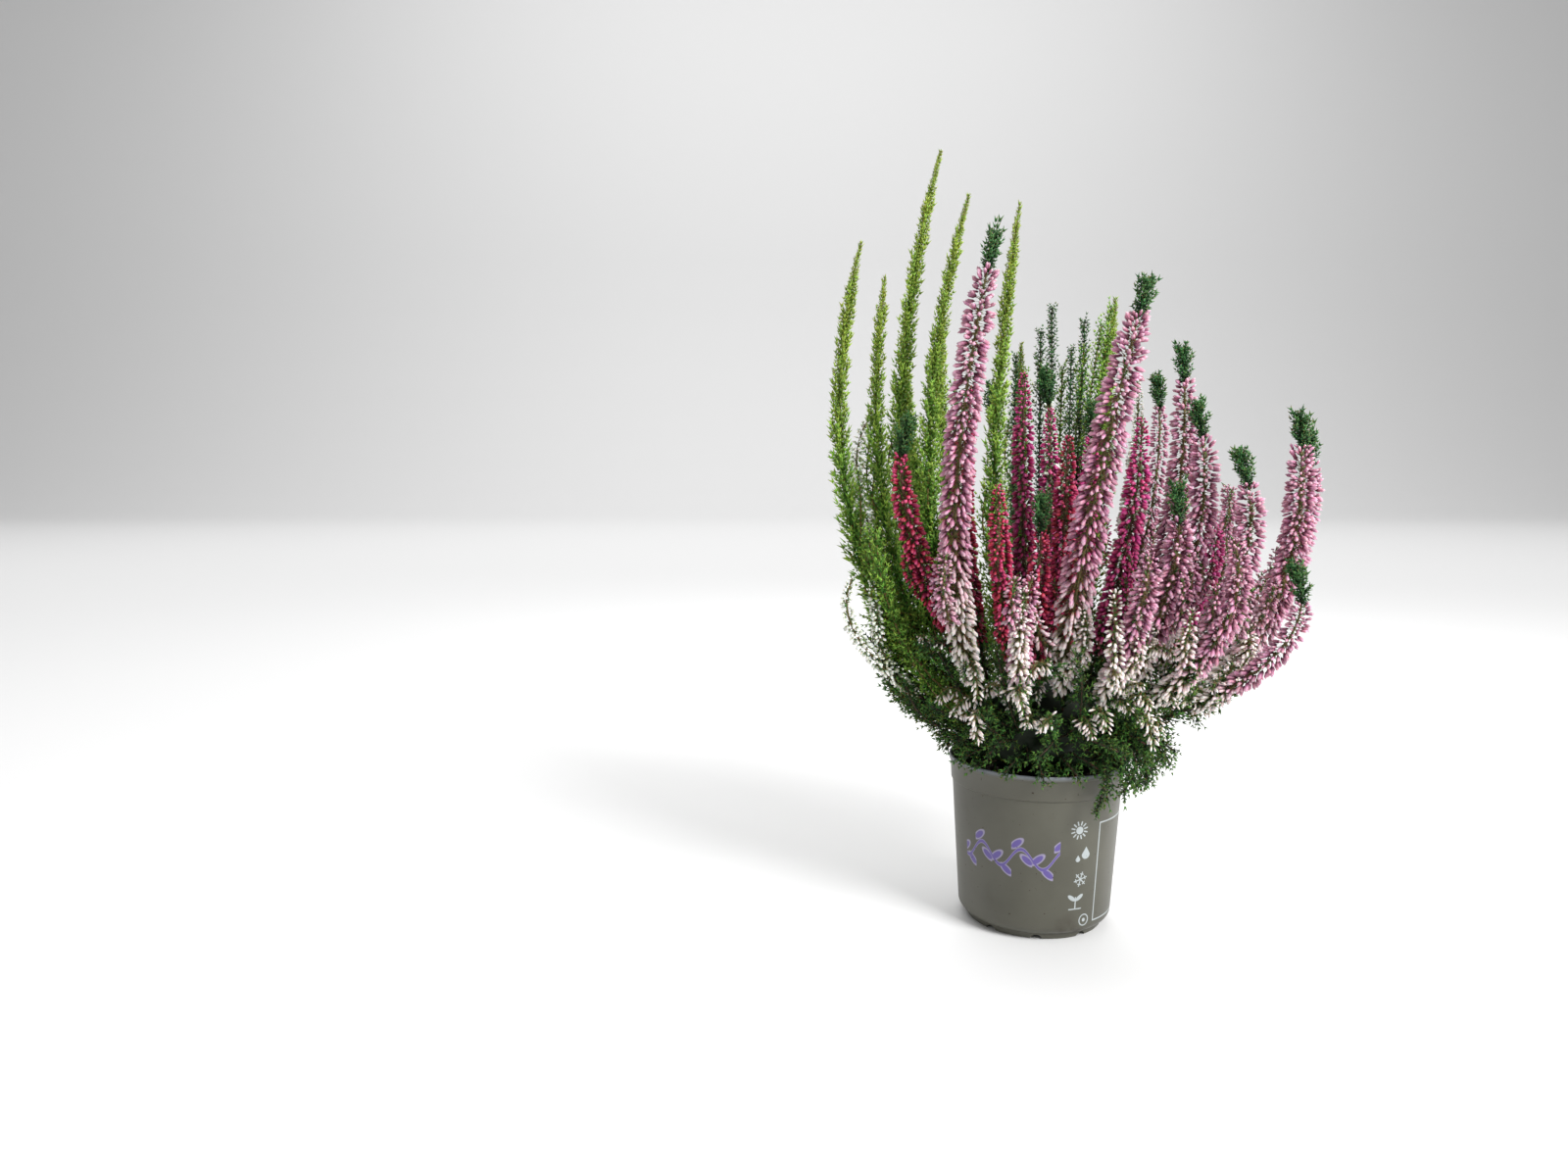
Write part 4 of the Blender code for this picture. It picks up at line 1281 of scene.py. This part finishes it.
def fan_lines(count, heights, draw):
    """On the left, shoots rise outwards under the columns."""
    for _ in range(count):
        depth, top = draw.uniform(*FAN_DEPTHS), draw.uniform(*heights)
        start = np.array((FAN_START, depth * 0.6, draw.uniform(*FAN_START_HEIGHTS))) * MM
        end = np.array((draw.uniform(*FAN_ENDS), depth, top)) * MM
        middle = (start + end) / 2 + np.array(FAN_BEND) * MM
        yield arc_line(start, middle, end, SHOOT_ROW)


print("shoots in the lobe:", LOBE_SHOOTS, "and in the fans:", DARK_FAN + FRESH_FAN)

# %% Necks, the trailing shoot and the middle in painted shade
def neck_lines():
    for place in crown_places():
        foot, top = place - (0, 0, 14 * MM), np.array((place[0], place[1], HEART_CENTRE[2]))
        yield line_through(lambda shares: foot + (top - foot) * np.asarray(shares)[:, None], 0, 1, 3 * MM)


def trailing_shoot(draw):
    """A thin shoot that hangs over the rim at the front."""
    start, middle, end = np.array([(26, -48, 132), (28, -67, 119), (22, -67, 90)]) * MM
    line = line_through(lambda shares: arc_points(start, middle, end, shares), 0, 0.95, 2.6 * MM)
    return leafy_shoot(line, draw, reach=3.6 * MM, radius=0.6 * MM)


def painted_shade_core():
    """The middle: leaf green all over, painted far darker than the leaves, as painted shade inside the bush.
    """
    points, faces, paint = unmoved(core, CORE_SHADE_TINT)
    paint[:, 0] = 0
    return points, faces, paint


print("necks:", len(list(neck_lines())))

# %% [markdown]
# ## The bush as pieces
# The middle in painted shade, the necks, the stems' leafy lengths and the trailing shoot stand in for the
# bush's solid.
# The rest are soft pieces of their own: outer shoots, the dome, side branches, and the fresh green growth.

# %% Growing the bush
before = sum(totals.values())
bush = [painted_shade_core()] + [bent_twig(line, long_twig, NECK_RADIUS * 0.9, 3 * MM) for line in neck_lines()]
bush += stem_feet(DARK_KINDS, draw) + trailing_shoot(draw)
grown("bush", bush, "leaf", "leafy_bush")
outer_lines = [*ring_lines(draw), *lobe_lines(draw), *fan_lines(DARK_FAN, DARK_FAN_HEIGHTS, draw)]
foot_branches = list(foot_lines(DARK_KINDS, draw))
grown("bush_shoots", leafy(outer_lines, draw, reach=6.6 * MM), "leaf")
grown("bush_dome", leafy(dome_lines(draw), draw, reach=7 * MM), "leaf")
grown("foot_shoots", leafy(foot_branches, draw, reach=6.4 * MM, radius=0.7 * MM), "leaf")
fresh = stem_feet(("green",), draw) + leafy(foot_lines(("green",), draw), draw, reach=8 * MM)
fresh += leafy(fan_lines(FRESH_FAN, FRESH_FAN_HEIGHTS, draw), draw, reach=6.6 * MM)
grown("fresh_feet", fresh, "green")
grown("fresh_branches", leafy(fresh_lines(draw), draw, reach=6.5 * MM, radius=0.7 * MM), "green")
tall = leafy(tall_lines(DARK_TALL), draw, per_row=4, reach=5.2 * MM, bare_to=TALL_BARE)
grown("dark_tall_shoots", tall, "tip")
grown("fresh_tall_shoots", leafy(tall_lines(FRESH_TALL), draw, reach=6.6 * MM, bare_to=TALL_BARE), "green")
print("triangles in the bush:", sum(totals.values()) - before, totals["bush"], totals["bush_shoots"])

# %% [markdown]
# ## Side branches with buds
# The stems branch. Low down, short branches arch out and hang, and their small buds have faded to cream.
# Higher up, side branches rise beside the stem, and fill the room between the spikes with colour.

# %% Rising branches
RISING = {"pink": 3, "white": 4, "crimson": 2, "magenta": 2}
RISING_LENGTHS = {"pink": 36 * MM, "white": 28 * MM, "crimson": 26 * MM, "magenta": 26 * MM}
RISING_HEIGHTS = (52, 110)
FORWARD = {"white": 90 * MM}
RISING_SIZE = 0.74
RISING_RANGE, RISING_FROM, RISING_LIFTS = (0.6, 1.1), 4, (0.9, 1.5)
RISING_ROW, RISING_RANKS = 1.2, 4
TONE_JITTER = 0.05
RISING_TONES = ((170, 240), (0.05, 0.55))


def budded_branch(line, bloom, size, tone, draw, hang=0.0):
    """A side branch with buds on its outer three quarters."""
    outer = Line(*[values[len(line.points) // 4:] for values in line])
    smaller = bloom._replace(length=bloom.length * size, girth=bloom.girth * (0.4 + 0.6 * size))
    reach = smaller.length * 0.9 * np.interp(outer.share, (0, 0.7, 1), (1, 1, 0.6))
    return [
        buds_along(outer, smaller, reach, 0.4 * MM, np.full(len(outer.points), tone), draw, hang),
        bent_twig(line, short_twig, 0.6 * MM, 0.4 * MM),
        small_leaves(line, 2, 0.3 * MM, draw),
    ]


def rising_branches(kind, draw):
    clumps = []
    for stem in STEMS:
        for _ in range(RISING[kind] if stem.kind == kind else 0):
            length = RISING_LENGTHS[kind] * draw.uniform(*RISING_RANGE)
            highest = RISING_HEIGHTS[stem.shoulder[1] > BACK_STEM]
            height = (stem.lowest + draw.uniform(RISING_FROM, highest)) * MM
            bloom = BLOOMS[kind]._replace(row=BLOOMS[kind].row * RISING_ROW, ranks=RISING_RANKS)
            lift = draw.uniform(*RISING_LIFTS)
            line = side_line(stem, height, length, 0.3, lift, bloom.row, draw, FORWARD.get(kind, 0))
            tone = np.interp(line.points[0][2] / MM, *RISING_TONES) + draw.uniform(-TONE_JITTER, TONE_JITTER)
            clumps += budded_branch(line, bloom, RISING_SIZE, tone, draw)
    return clumps


print("rising branches on each stem:", RISING)

# %% Hanging sprays
FADED_BLOOM = Bloom(2.8 * MM, 3, 4, 30, 2, 9.0 * MM, 0.84)
FADED_SECTOR = (-150, 28)
SPRAY_LENGTH = 26 * MM
SPRAY_HANG = 0.9
SPRAY_RANGE, SPRAY_SPREAD, SPRAY_TONES = (0.7, 1.15), 0.55, (0, 0.16)
# Shares of the length: out and up at the middle, out and down at the end
SPRAY_ARCH, SPRAY_OUT, SPRAY_DROPS = (0.42, 0.16), 0.75, (-0.25, 0.6)
CARRIER_HEIGHT = 132 * MM
SPRAYS_EACH = 3
SPRAY_ROOM = 9.4 * MM
LOWEST_SPRAY = 150 * MM


def in_faded_sector(point):
    away = point - HEART_CENTRE
    angle = math.degrees(math.atan2(away[1], away[0]))
    return FADED_SECTOR[0] < angle < FADED_SECTOR[1]


def hanging_spray(start, draw):
    """A short branch that arches outwards and hangs, with faded buds."""
    away = start - HEART_CENTRE
    angle = math.atan2(away[1], away[0]) + draw.normal(0, SPRAY_SPREAD)
    outward = level_way(angle)
    length = SPRAY_LENGTH * draw.uniform(*SPRAY_RANGE)
    middle = start + outward * length * SPRAY_ARCH[0] + (0, 0, length * SPRAY_ARCH[1])
    end = start + outward * length * SPRAY_OUT - (0, 0, length * draw.uniform(*SPRAY_DROPS))
    line = arc_line(start, middle, end, FADED_BLOOM.row)
    return budded_branch(line, FADED_BLOOM, 1.0, draw.uniform(*SPRAY_TONES), draw, SPRAY_HANG)


def faded_sprays(carriers, draw):
    """Sprays on the outer parts of the shoots at the front and the right, each with room of its own."""
    clumps = []
    taken = []
    for carrier in carriers:
        for share in draw.uniform(0.3, 1, SPRAYS_EACH):
            start = carrier.points[int(share * (len(carrier.points) - 1))]
            free = all(np.linalg.norm(start - other) > SPRAY_ROOM for other in taken)
            if free and start[2] > LOWEST_SPRAY and in_faded_sector(start):
                taken.append(start)
                clumps += hanging_spray(start, draw)
    print("sprays of faded buds:", len(taken))
    return clumps


before = sum(totals.values())
for kind in DARK_KINDS:
    grown(f"{kind}_branches", rising_branches(kind, draw), kind)
carriers = [line for line in outer_lines + foot_branches if line.points[-1][2] > CARRIER_HEIGHT]
grown("faded_sprays", faded_sprays(carriers, draw), "pink")
print("triangles in the branches:", sum(totals.values()) - before, totals["faded_sprays"])

# %% [markdown]
# ## The pot
# The pot is thin plastic, formed over a mould: a lip, a collar with a step under it, a tapered wall, a
# rounded bottom edge and a notched foot. It is made like one at the lathe, ring by ring: a disc is
# extruded along the wall's section and closed by its own last ring. The notches are then cut out.

# %% The pot's section
LIP_HEIGHT = 3.6 * MM
LIP_EDGE = 0.8 * MM
COLLAR_HEIGHT = 17 * MM
STEP_EDGE = 0.5 * MM
WALL = 1.3 * MM
STEP_WIDTH = 0.9 * MM
BASE_RADIUS = 52.1 * MM
BASE_CORNER = 11 * MM
CORNER_EDGE = 7 * MM
FOOT_RADIUS = 46.2 * MM
FOOT_WIDTH = 4.7 * MM
FOOT_EDGE = 1.2 * MM
FOOT_LIFT = 2.4 * MM
FLOOR_TOP = 4 * MM
PAD_RADIUS = 12 * MM


def wall_radius(height):
    share = (height - BASE_CORNER) / (POT_HEIGHT - COLLAR_HEIGHT - BASE_CORNER)
    return BASE_RADIUS + (RIM_RADIUS - 2.5 * MM - BASE_RADIUS) * share


def rounded(radius, height, size, first, last, steps=5):
    """Points of a round edge about a centre, between two angles in degrees."""
    angles = np.radians(np.linspace(first, last, steps))
    return [(radius + size * math.cos(angle), height + size * math.sin(angle)) for angle in angles]


def pot_section():
    """(radius, height) from the floor up the inside, over the lip, down the outside and in underneath."""
    collar = POT_HEIGHT - COLLAR_HEIGHT
    collar_radius = wall_radius(collar) + STEP_WIDTH
    inside = [
        (PAD_RADIUS, FLOOR_TOP),
        (FOOT_RADIUS - 2.2 * MM, FLOOR_TOP),
        (BASE_RADIUS - 3.5 * MM, 7.5 * MM),
        (wall_radius(BASE_CORNER) - WALL, BASE_CORNER + MM),
        (wall_radius(collar) - WALL, collar - 0.4 * MM),
        (collar_radius - WALL, collar + 0.4 * MM),
        (RIM_RADIUS - 2 * MM, POT_HEIGHT - 1.4 * MM),
    ]
    lip = rounded(RIM_RADIUS - LIP_EDGE, POT_HEIGHT - LIP_EDGE, LIP_EDGE, 120, 0)
    lip += rounded(RIM_RADIUS - LIP_EDGE, POT_HEIGHT - LIP_HEIGHT + LIP_EDGE, LIP_EDGE, 0, -90, 4)
    under_lip = [(collar_radius + 0.6 * MM, POT_HEIGHT - LIP_HEIGHT - 0.3 * MM)]
    step = rounded(collar_radius - STEP_EDGE, collar + STEP_EDGE, STEP_EDGE, 0, -80, 4)
    wall_heights = (collar - 0.5 * MM, collar - 2 * MM, 60 * MM, 24 * MM)
    wall = [(wall_radius(height), height) for height in wall_heights]
    corner = rounded(BASE_RADIUS - CORNER_EDGE, BASE_CORNER, CORNER_EDGE, 0, -58, 7)
    foot = [(FOOT_RADIUS + 0.6 * MM, 4.6 * MM)]
    foot += rounded(FOOT_RADIUS - FOOT_EDGE, FOOT_EDGE, FOOT_EDGE, 10, -90)
    underside = [
        (FOOT_RADIUS - FOOT_WIDTH, 0),
        (FOOT_RADIUS - FOOT_WIDTH - 1.5 * MM, FOOT_LIFT),
        (PAD_RADIUS + 0.6 * MM, FOOT_LIFT),
        (PAD_RADIUS, 0),
    ]
    return inside + lip + under_lip + step + wall + corner + foot + underside


print("points of the pot's section:", len(pot_section()))

# %% Turning a section
def turned_model(name, section, steps):
    """A closed round solid: a disc extruded ring by ring along (radius, height) points."""
    deselect()
    radius, height = section[0]
    foot = (0, 0, height)
    bpy.ops.mesh.primitive_circle_add(vertices=steps, radius=radius, fill_type="NGON", location=foot)
    made = bpy.context.object
    made.name = name
    select_only(made)
    bpy.ops.object.transform_apply(location=True)
    edit_all()
    for (before_radius, before_height), (radius, height) in zip(section, section[1:]):
        rise = (0, 0, height - before_height)
        bpy.ops.mesh.extrude_region_move(TRANSFORM_OT_translate={"value": rise})
        share = radius / before_radius
        bpy.ops.transform.resize(value=(share, share, 1), center_override=(0, 0, height))
    bpy.ops.mesh.select_all(action="SELECT")
    bpy.ops.mesh.normals_make_consistent(inside=False)
    leave_edit()
    return made


print("pot's lip:", round(LIP_HEIGHT / MM, 1), "mm tall")

# %% Notches and drain holes
POT_STEPS = 96
FOOT_NOTCHES, NOTCH_RADIUS = 9, 4.2 * MM
DRAIN_HOLES, DRAIN_RADIUS, DRAIN_RING = 6, 3.2 * MM, 27 * MM
NOTCH_SIDES, DRAIN_SIDES = 24, 20


def pot_cutters():
    """The notches of the foot and the drain holes, as one cutter."""
    deselect()
    made = []
    for index in range(FOOT_NOTCHES):
        angle = math.tau * (index + 0.5) / FOOT_NOTCHES
        ring = FOOT_RADIUS - FOOT_LIFT
        bpy.ops.mesh.primitive_cylinder_add(
            vertices=NOTCH_SIDES, radius=NOTCH_RADIUS, depth=3.4 * FOOT_WIDTH,
            location=(ring * math.cos(angle), ring * math.sin(angle), -FOOT_LIFT / 2),
            rotation=(0, math.pi / 2, angle),
        )
        made.append(bpy.context.object)
    for index in range(DRAIN_HOLES):
        angle = math.tau * index / DRAIN_HOLES
        bpy.ops.mesh.primitive_cylinder_add(
            vertices=DRAIN_SIDES, radius=DRAIN_RADIUS, depth=4 * FLOOR_TOP,
            location=(DRAIN_RING * math.cos(angle), DRAIN_RING * math.sin(angle), FLOOR_TOP / 2),
        )
        made.append(bpy.context.object)
    select_only(*made)
    bpy.ops.object.join()
    return bpy.context.object


def make_pot(finish):
    pot = turned_model("nursery_pot", pot_section(), POT_STEPS)
    cutter = pot_cutters()
    boolean = pot.modifiers.new("notches and drains", "BOOLEAN")
    boolean.operation = "DIFFERENCE"
    boolean.object = cutter
    select_only(pot)
    bpy.ops.object.modifier_apply(modifier=boolean.name)
    bpy.data.objects.remove(cutter)
    bpy.ops.object.shade_smooth_by_angle(angle=math.radians(32))
    pot.data.materials.clear()
    pot.data.materials.append(finish)
    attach(pot, "root")
    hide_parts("pot")
    return pot


print("notches:", FOOT_NOTCHES, "and drain holes:", DRAIN_HOLES)

# %% [markdown]
# ## The plastic and its print
# The plastic is a warm grey-brown with a dull gloss, a lighter bluish lip that is a painted reflection,
# faint moulding bands and specks of soil. The print is ink, so it is colour only: a violet scroll with
# leaves on the left, a column of small care signs, and an empty pale frame. Each is worked out from two
# coordinates on the wall, the distance round it from the front and the height, both in millimetres.

# %% The print as masks
PRINT_RADIUS = 56.0
PER_MM = 1000.0


def wall_coordinates(group):
    """Distance round the wall from the front, and height, in millimetres."""
    axes = add_node(group, "SeparateXYZ", {"Vector": place_in(group)}).outputs
    sideways, deep, height = values_of(group, axes)
    return sideways.math("ARCTAN2", deep * -1.0) * PRINT_RADIUS, height * PER_MM


def turned_by(across, up, degrees):
    """The same two distances along axes turned by an angle."""
    cosine, sine = math.cos(math.radians(degrees)), math.sin(math.radians(degrees))
    return across * cosine + up * sine, up * cosine - across * sine


def length_of(across, up):
    return (across.math("POWER", 2.0) + up.math("POWER", 2.0)).math("SQRT")


def ellipse(across, up, half_width, half_height):
    """Under 1 inside the ellipse."""
    return length_of(across / half_width, up / half_height)


def under(value, limit, softness):
    """1 where the value is under the limit, with a soft edge."""
    return 1.0 - between(value, limit - softness, limit + softness)


def any_of(*masks):
    result = masks[0]
    for mask in masks[1:]:
        result = result.math("MAXIMUM", mask)
    return result


print("wall, round the print in mm:", round(math.tau * PRINT_RADIUS))

# %% The scroll
SCROLL_START, SCROLL_END = -66.0, 4.0
SCROLL_HEIGHT, SCROLL_SWING, SCROLL_WAVE = 57.0, 6.5, 0.22
SCROLL_CELL = 14.0
# Where each leaf sits in its cell, how far over the stem, and its lean in degrees
SCROLL_LEAVES = ((0.25, 5.0, 40.0), (0.75, -5.0, -40.0))
SCROLL_LEAF_HALF = (4.2, 1.9)
INK_EDGE, HALO_EDGE = (1.0, 0.12), (1.42, 0.14)


def scroll_height(across):
    return (across * SCROLL_WAVE).math("SINE") * SCROLL_SWING + SCROLL_HEIGHT


def scroll_distance(across, up):
    """Distance to the scroll's stem and leaves: 1 is the edge of the violet ink."""
    cell = (across / SCROLL_CELL).math("FLOOR")
    nearest = abs(up - scroll_height(across))
    for shift, side, lean in SCROLL_LEAVES:
        centre = (cell + shift) * SCROLL_CELL
        along, off = turned_by(across - centre, up - (scroll_height(centre) + side), lean)
        nearest = nearest.math("MINIMUM", ellipse(along, off, *SCROLL_LEAF_HALF))
    return nearest


def scroll_masks(across, up):
    """The violet ink, and the pale outline round it."""
    reach = abs(across - (SCROLL_START + SCROLL_END) / 2)
    inside = under(reach, (SCROLL_END - SCROLL_START) / 2, 0.3)
    distance = scroll_distance(across, up)
    return inside * under(distance, *INK_EDGE), inside * under(distance, *HALO_EDGE)


print("scroll in mm:", SCROLL_END - SCROLL_START, "long")

# %% The care signs and the frame
SUN_DISC, SUN_RAYS_FROM, SUN_RAYS_TO, SUN_RAYS = 2.6, 3.4, 6.2, 12
# How far each drop is moved, and its size
DROPS = (((0.0, 0.0), 1.0), ((-6.0, -3.0), 0.55))
DROP_RADIUS, DROP_POINT = 3.2, 6.5
FLAKE_REACH, FLAKE_BAR, FLAKE_TURNS = 5.2, 3.6, (15, 75, 135)
SPROUT_HEIGHT, SPROUT_GROUND, SPROUT_LEAF, SPROUT_LEAF_HALF = 4.0, -4.4, (3.0, 3.4), (3.4, 1.4)
RING_RADIUS, RING_DOT = 3.8, 1.3
FRAME_HALF, FRAME_LINE = (22.0, 34.0), 0.45


def sun_mask(across, up):
    """A disc in a ring of rays."""
    radius = length_of(across, up)
    ray = abs((up.math("ARCTAN2", across) * (SUN_RAYS / math.tau)).math("FRACT") - 0.5)
    slim = under(ray * (radius / 4.0), 0.22, 0.05)
    rays = slim * under(radius, SUN_RAYS_TO, 0.2) * (1.0 - under(radius, SUN_RAYS_FROM, 0.2))
    return any_of(under(radius, SUN_DISC, 0.2), rays)


def drop_mask(across, up):
    """A drop, which is a circle that narrows to a point above, with a smaller one beside it."""
    masks = []
    for shift, size in DROPS:
        aside, above = across - shift[0], up - shift[1]
        narrowing = (1.0 - above / (DROP_POINT * size)).math("MAXIMUM", 0.12).math("MINIMUM", 1.0)
        shape = ellipse(aside / narrowing, above.math("MINIMUM", above * 0.62), *[DROP_RADIUS * size] * 2)
        masks.append(under(shape, 1.0, 0.06) * under(above, 6.0 * size, 0.2))
    return any_of(*masks)


def flake_mask(across, up):
    """Six arms, each with a pair of short bars near its end."""
    masks = []
    for turn in FLAKE_TURNS:
        along, off = [abs(distance) for distance in turned_by(across, up, turn)]
        masks += [under(off, 0.38, 0.12), under(abs(along - FLAKE_BAR), 0.35, 0.1) * under(off, 1.4, 0.1)]
    return any_of(*masks) * under(length_of(across, up), FLAKE_REACH, 0.1)


def sprout_mask(across, up):
    """A stem with two leaves over a short line of ground."""
    stem = under(abs(across), 0.45, 0.1) * under(abs(up), SPROUT_HEIGHT, 0.1)
    ground = under(abs(up - SPROUT_GROUND), 0.4, 0.1) * under(abs(across), 5.0, 0.1)
    leaves = []
    for side in (-1, 1):
        along, off = turned_by(across - SPROUT_LEAF[0] * side, up - SPROUT_LEAF[1], 35 * side)
        leaves.append(under(ellipse(along, off, *SPROUT_LEAF_HALF), 1.0, 0.08))
    return any_of(stem, ground, *leaves)


def ring_mask(across, up):
    radius = length_of(across, up)
    return any_of(under(abs(radius - RING_RADIUS), 0.4, 0.1), under(radius, RING_DOT, 0.15))


def frame_mask(across, up):
    edge = (abs(across) - FRAME_HALF[0]).math("MAXIMUM", abs(up) - FRAME_HALF[1])
    return under(abs(edge), FRAME_LINE, 0.15)


# Each sign and the place of its centre on the wall
SIGNS = (
    (sun_mask, (17.0, 77.0)), (drop_mask, (23.0, 60.0)), (flake_mask, (20.0, 43.0)),
    (sprout_mask, (17.0, 27.0)), (ring_mask, (25.0, 14.0)), (frame_mask, (56.0, 46.0)),
)


def make_print():
    group, _, result = new_group("Pot print", [], [("Violet", "Float"), ("Halo", "Float"), ("Pale", "Float")])
    across, up = wall_coordinates(group)
    ink, halo = scroll_masks(across, up)
    signs = [mask(across - place[0], up - place[1]) for mask, place in SIGNS]
    fill(group, result, {"Violet": ink, "Halo": halo, "Pale": any_of(*signs)})
    return group


pot_print = make_print()
print("nodes in the print:", len(pot_print.nodes))

# %% The pot's plastic
TAUPE = linear(84, 83, 72)
TAUPE_DARK = linear(68, 67, 57)
# A lighter bluish grey over the lip: a painted reflection of the light on its top
LIP_REFLECTION = linear(126, 132, 140)
DIRT_COLOUR = linear(52, 40, 30)
VIOLET_INK = linear(94, 80, 146)
HALO_INK = linear(160, 152, 184)
PALE_INK = linear(184, 192, 194)
# Heights of the lip's painted reflection
LIP_REFLECTION_BAND = (POT_HEIGHT - LIP_HEIGHT, POT_HEIGHT - 0.5 * MM)
SPLASHED = (2 * MM, 26 * MM)
BANDS = 900.0


def pot_finish():
    made, tree, shader = new_finish("taupe plastic", 0.42)
    soft = use_group(tree, mottle, {"Scale": 30.0, "Detail": 4.0, "Low": 0.3, "High": 0.7})["Tone"]
    specks = use_group(tree, mottle, {"Scale": 520.0, "Detail": 1.0, "Low": 0.74, "High": 0.80})["Tone"]
    smears = use_group(tree, mottle, {"Scale": 55.0, "Detail": 5.0, "Low": 0.56, "High": 0.80})["Tone"]
    ink = use_group(tree, pot_print, {})
    height = Value(tree, add_node(tree, "SeparateXYZ", {"Vector": place_in(tree)}).outputs[2])
    colour = mixed(soft * 0.5, TAUPE, TAUPE_DARK)
    colour = mixed(ink["Halo"] * 0.75, colour, HALO_INK)
    colour = mixed(ink["Violet"], colour, VIOLET_INK)
    colour = mixed(ink["Pale"] * 0.8, colour, PALE_INK)
    # The lip painted lighter and bluish: a painted reflection
    colour = mixed(between(height, *LIP_REFLECTION_BAND) * 0.75, colour, LIP_REFLECTION)
    low = 1.0 - between(height, *SPLASHED)
    dirt = specks.math("MAXIMUM", smears * (low * 0.5 + 0.12))
    colour = mixed(dirt, colour, DIRT_COLOUR)
    relief = (height * BANDS).math("SINE") * 0.10 + use_group(tree, mottle, {"Scale": 90.0})["Height"]
    normal = bumps(tree, relief, 0.12, 0.6 * MM)
    fill(tree, shader, {"Base Color": colour, "Roughness": dirt * 0.4 + 0.4, "Normal": normal})
    return made


pot = make_pot(pot_finish())
totals["nursery_pot"] = sum(len(face.vertices) - 2 for face in pot.data.polygons)
print("triangles in the pot:", totals["nursery_pot"])

# %% [markdown]
# ## The soil
# The young plants stand in dark peat, a finger's width under the rim. The plug fills the pot and hides in
# it, so only its rough top is worked: it is divided, jostled and strewn with crumbs.

# %% The root ball and its crumbs
SOIL_CLEARANCE = 0.4 * MM
SOIL_RINGS = 16
PLUG_STEPS = 64
PLUG_ROUGHNESS, CRUMB_ROUGHNESS = 1.3 * MM, 0.35
CRUMBS = 700
CRUMB_TILT, CRUMB_SIZES, CRUMB_RISE = 0.3, (0.6, 2.0), 0.8
# The third peat colour, near black, is painted shade in the peat's small holes
PEAT_DARK, PEAT_PALE, PEAT_HOLE_SHADE = linear(30, 21, 15), linear(68, 50, 36), linear(18, 13, 10)


def model_plug():
    edge = wall_radius(SOIL_TOP) - WALL - SOIL_CLEARANCE
    section = [
        (FOOT_RADIUS - 2.6 * MM, FLOOR_TOP + SOIL_CLEARANCE),
        (BASE_RADIUS - 3.7 * MM - SOIL_CLEARANCE, 7.8 * MM + SOIL_CLEARANCE),
        (wall_radius(BASE_CORNER) - WALL - SOIL_CLEARANCE, BASE_CORNER + MM),
        (edge, SOIL_TOP - 1.5 * MM),
    ]
    section += [(edge * (1 - ring / SOIL_RINGS), SOIL_TOP) for ring in range(1, SOIL_RINGS)]
    plug = turned_model("plug", section, PLUG_STEPS)
    for vertex in plug.data.vertices:
        vertex.select = vertex.co.z > SOIL_TOP - 0.5 * MM
    enter_edit()
    bpy.ops.mesh.select_mode(type="VERT")
    bpy.ops.transform.vertex_random(offset=PLUG_ROUGHNESS, uniform=1, normal=0, seed=SEED)
    leave_edit()
    return lifted(plug, WOOD)


def model_crumb():
    deselect()
    bpy.ops.mesh.primitive_ico_sphere_add(subdivisions=1, radius=1)
    edit_all()
    bpy.ops.transform.vertex_random(offset=CRUMB_ROUGHNESS, uniform=1, normal=0, seed=SEED)
    bpy.ops.transform.resize(value=(1, 0.8, 0.55), center_override=(0, 0, 0))
    leave_edit()
    return lifted(bpy.context.object, WOOD)


def soil_finish():
    made, tree, shader = new_finish("dark peat", 0.95)
    coarse = use_group(tree, mottle, {"Scale": 140.0, "Detail": 6.0})
    fine = use_group(tree, mottle, {"Scale": 900.0, "Detail": 4.0})
    colour = mixed(coarse["Tone"], PEAT_DARK, PEAT_PALE)
    # Near black spots from the fine noise: painted shade in small holes
    colour = mixed(fine["Tone"] * 0.5, colour, PEAT_HOLE_SHADE)
    normal = bumps(tree, coarse["Height"] + fine["Height"], 0.8, 1 * MM)
    fill(tree, shader, {"Base Color": colour, "Normal": normal})
    return made


def soil_clumps(draw):
    radius = (wall_radius(SOIL_TOP) - 3 * MM) * np.sqrt(draw.uniform(0, 1, CRUMBS))
    angle = draw.uniform(0, math.tau, CRUMBS)
    height = SOIL_TOP + draw.uniform(0, CRUMB_RISE, CRUMBS) * MM
    origins = np.stack([radius * np.cos(angle), radius * np.sin(angle), height], 1)
    lean = [draw.normal(0, CRUMB_TILT, CRUMBS) for _ in range(2)]
    upright = np.stack([*lean, np.ones(CRUMBS)], 1)
    size = draw.uniform(*CRUMB_SIZES, CRUMBS) * MM
    places = placings(origins, upright, draw.uniform(0, math.tau, CRUMBS), size)
    return [unmoved(plug, 0.5), planted(crumb, places, draw.uniform(0, 1, CRUMBS), np.zeros(CRUMBS))]


plug = model_plug()
crumb = model_crumb()
finishes["soil"] = soil_finish()
grown("peat", soil_clumps(draw), "soil", "soil")
print("triangles in the soil:", totals["peat"])

# %% Sizes of the pieces
print("triangles added in all:", sum(totals.values()), "most in one piece:", max(totals.values()))
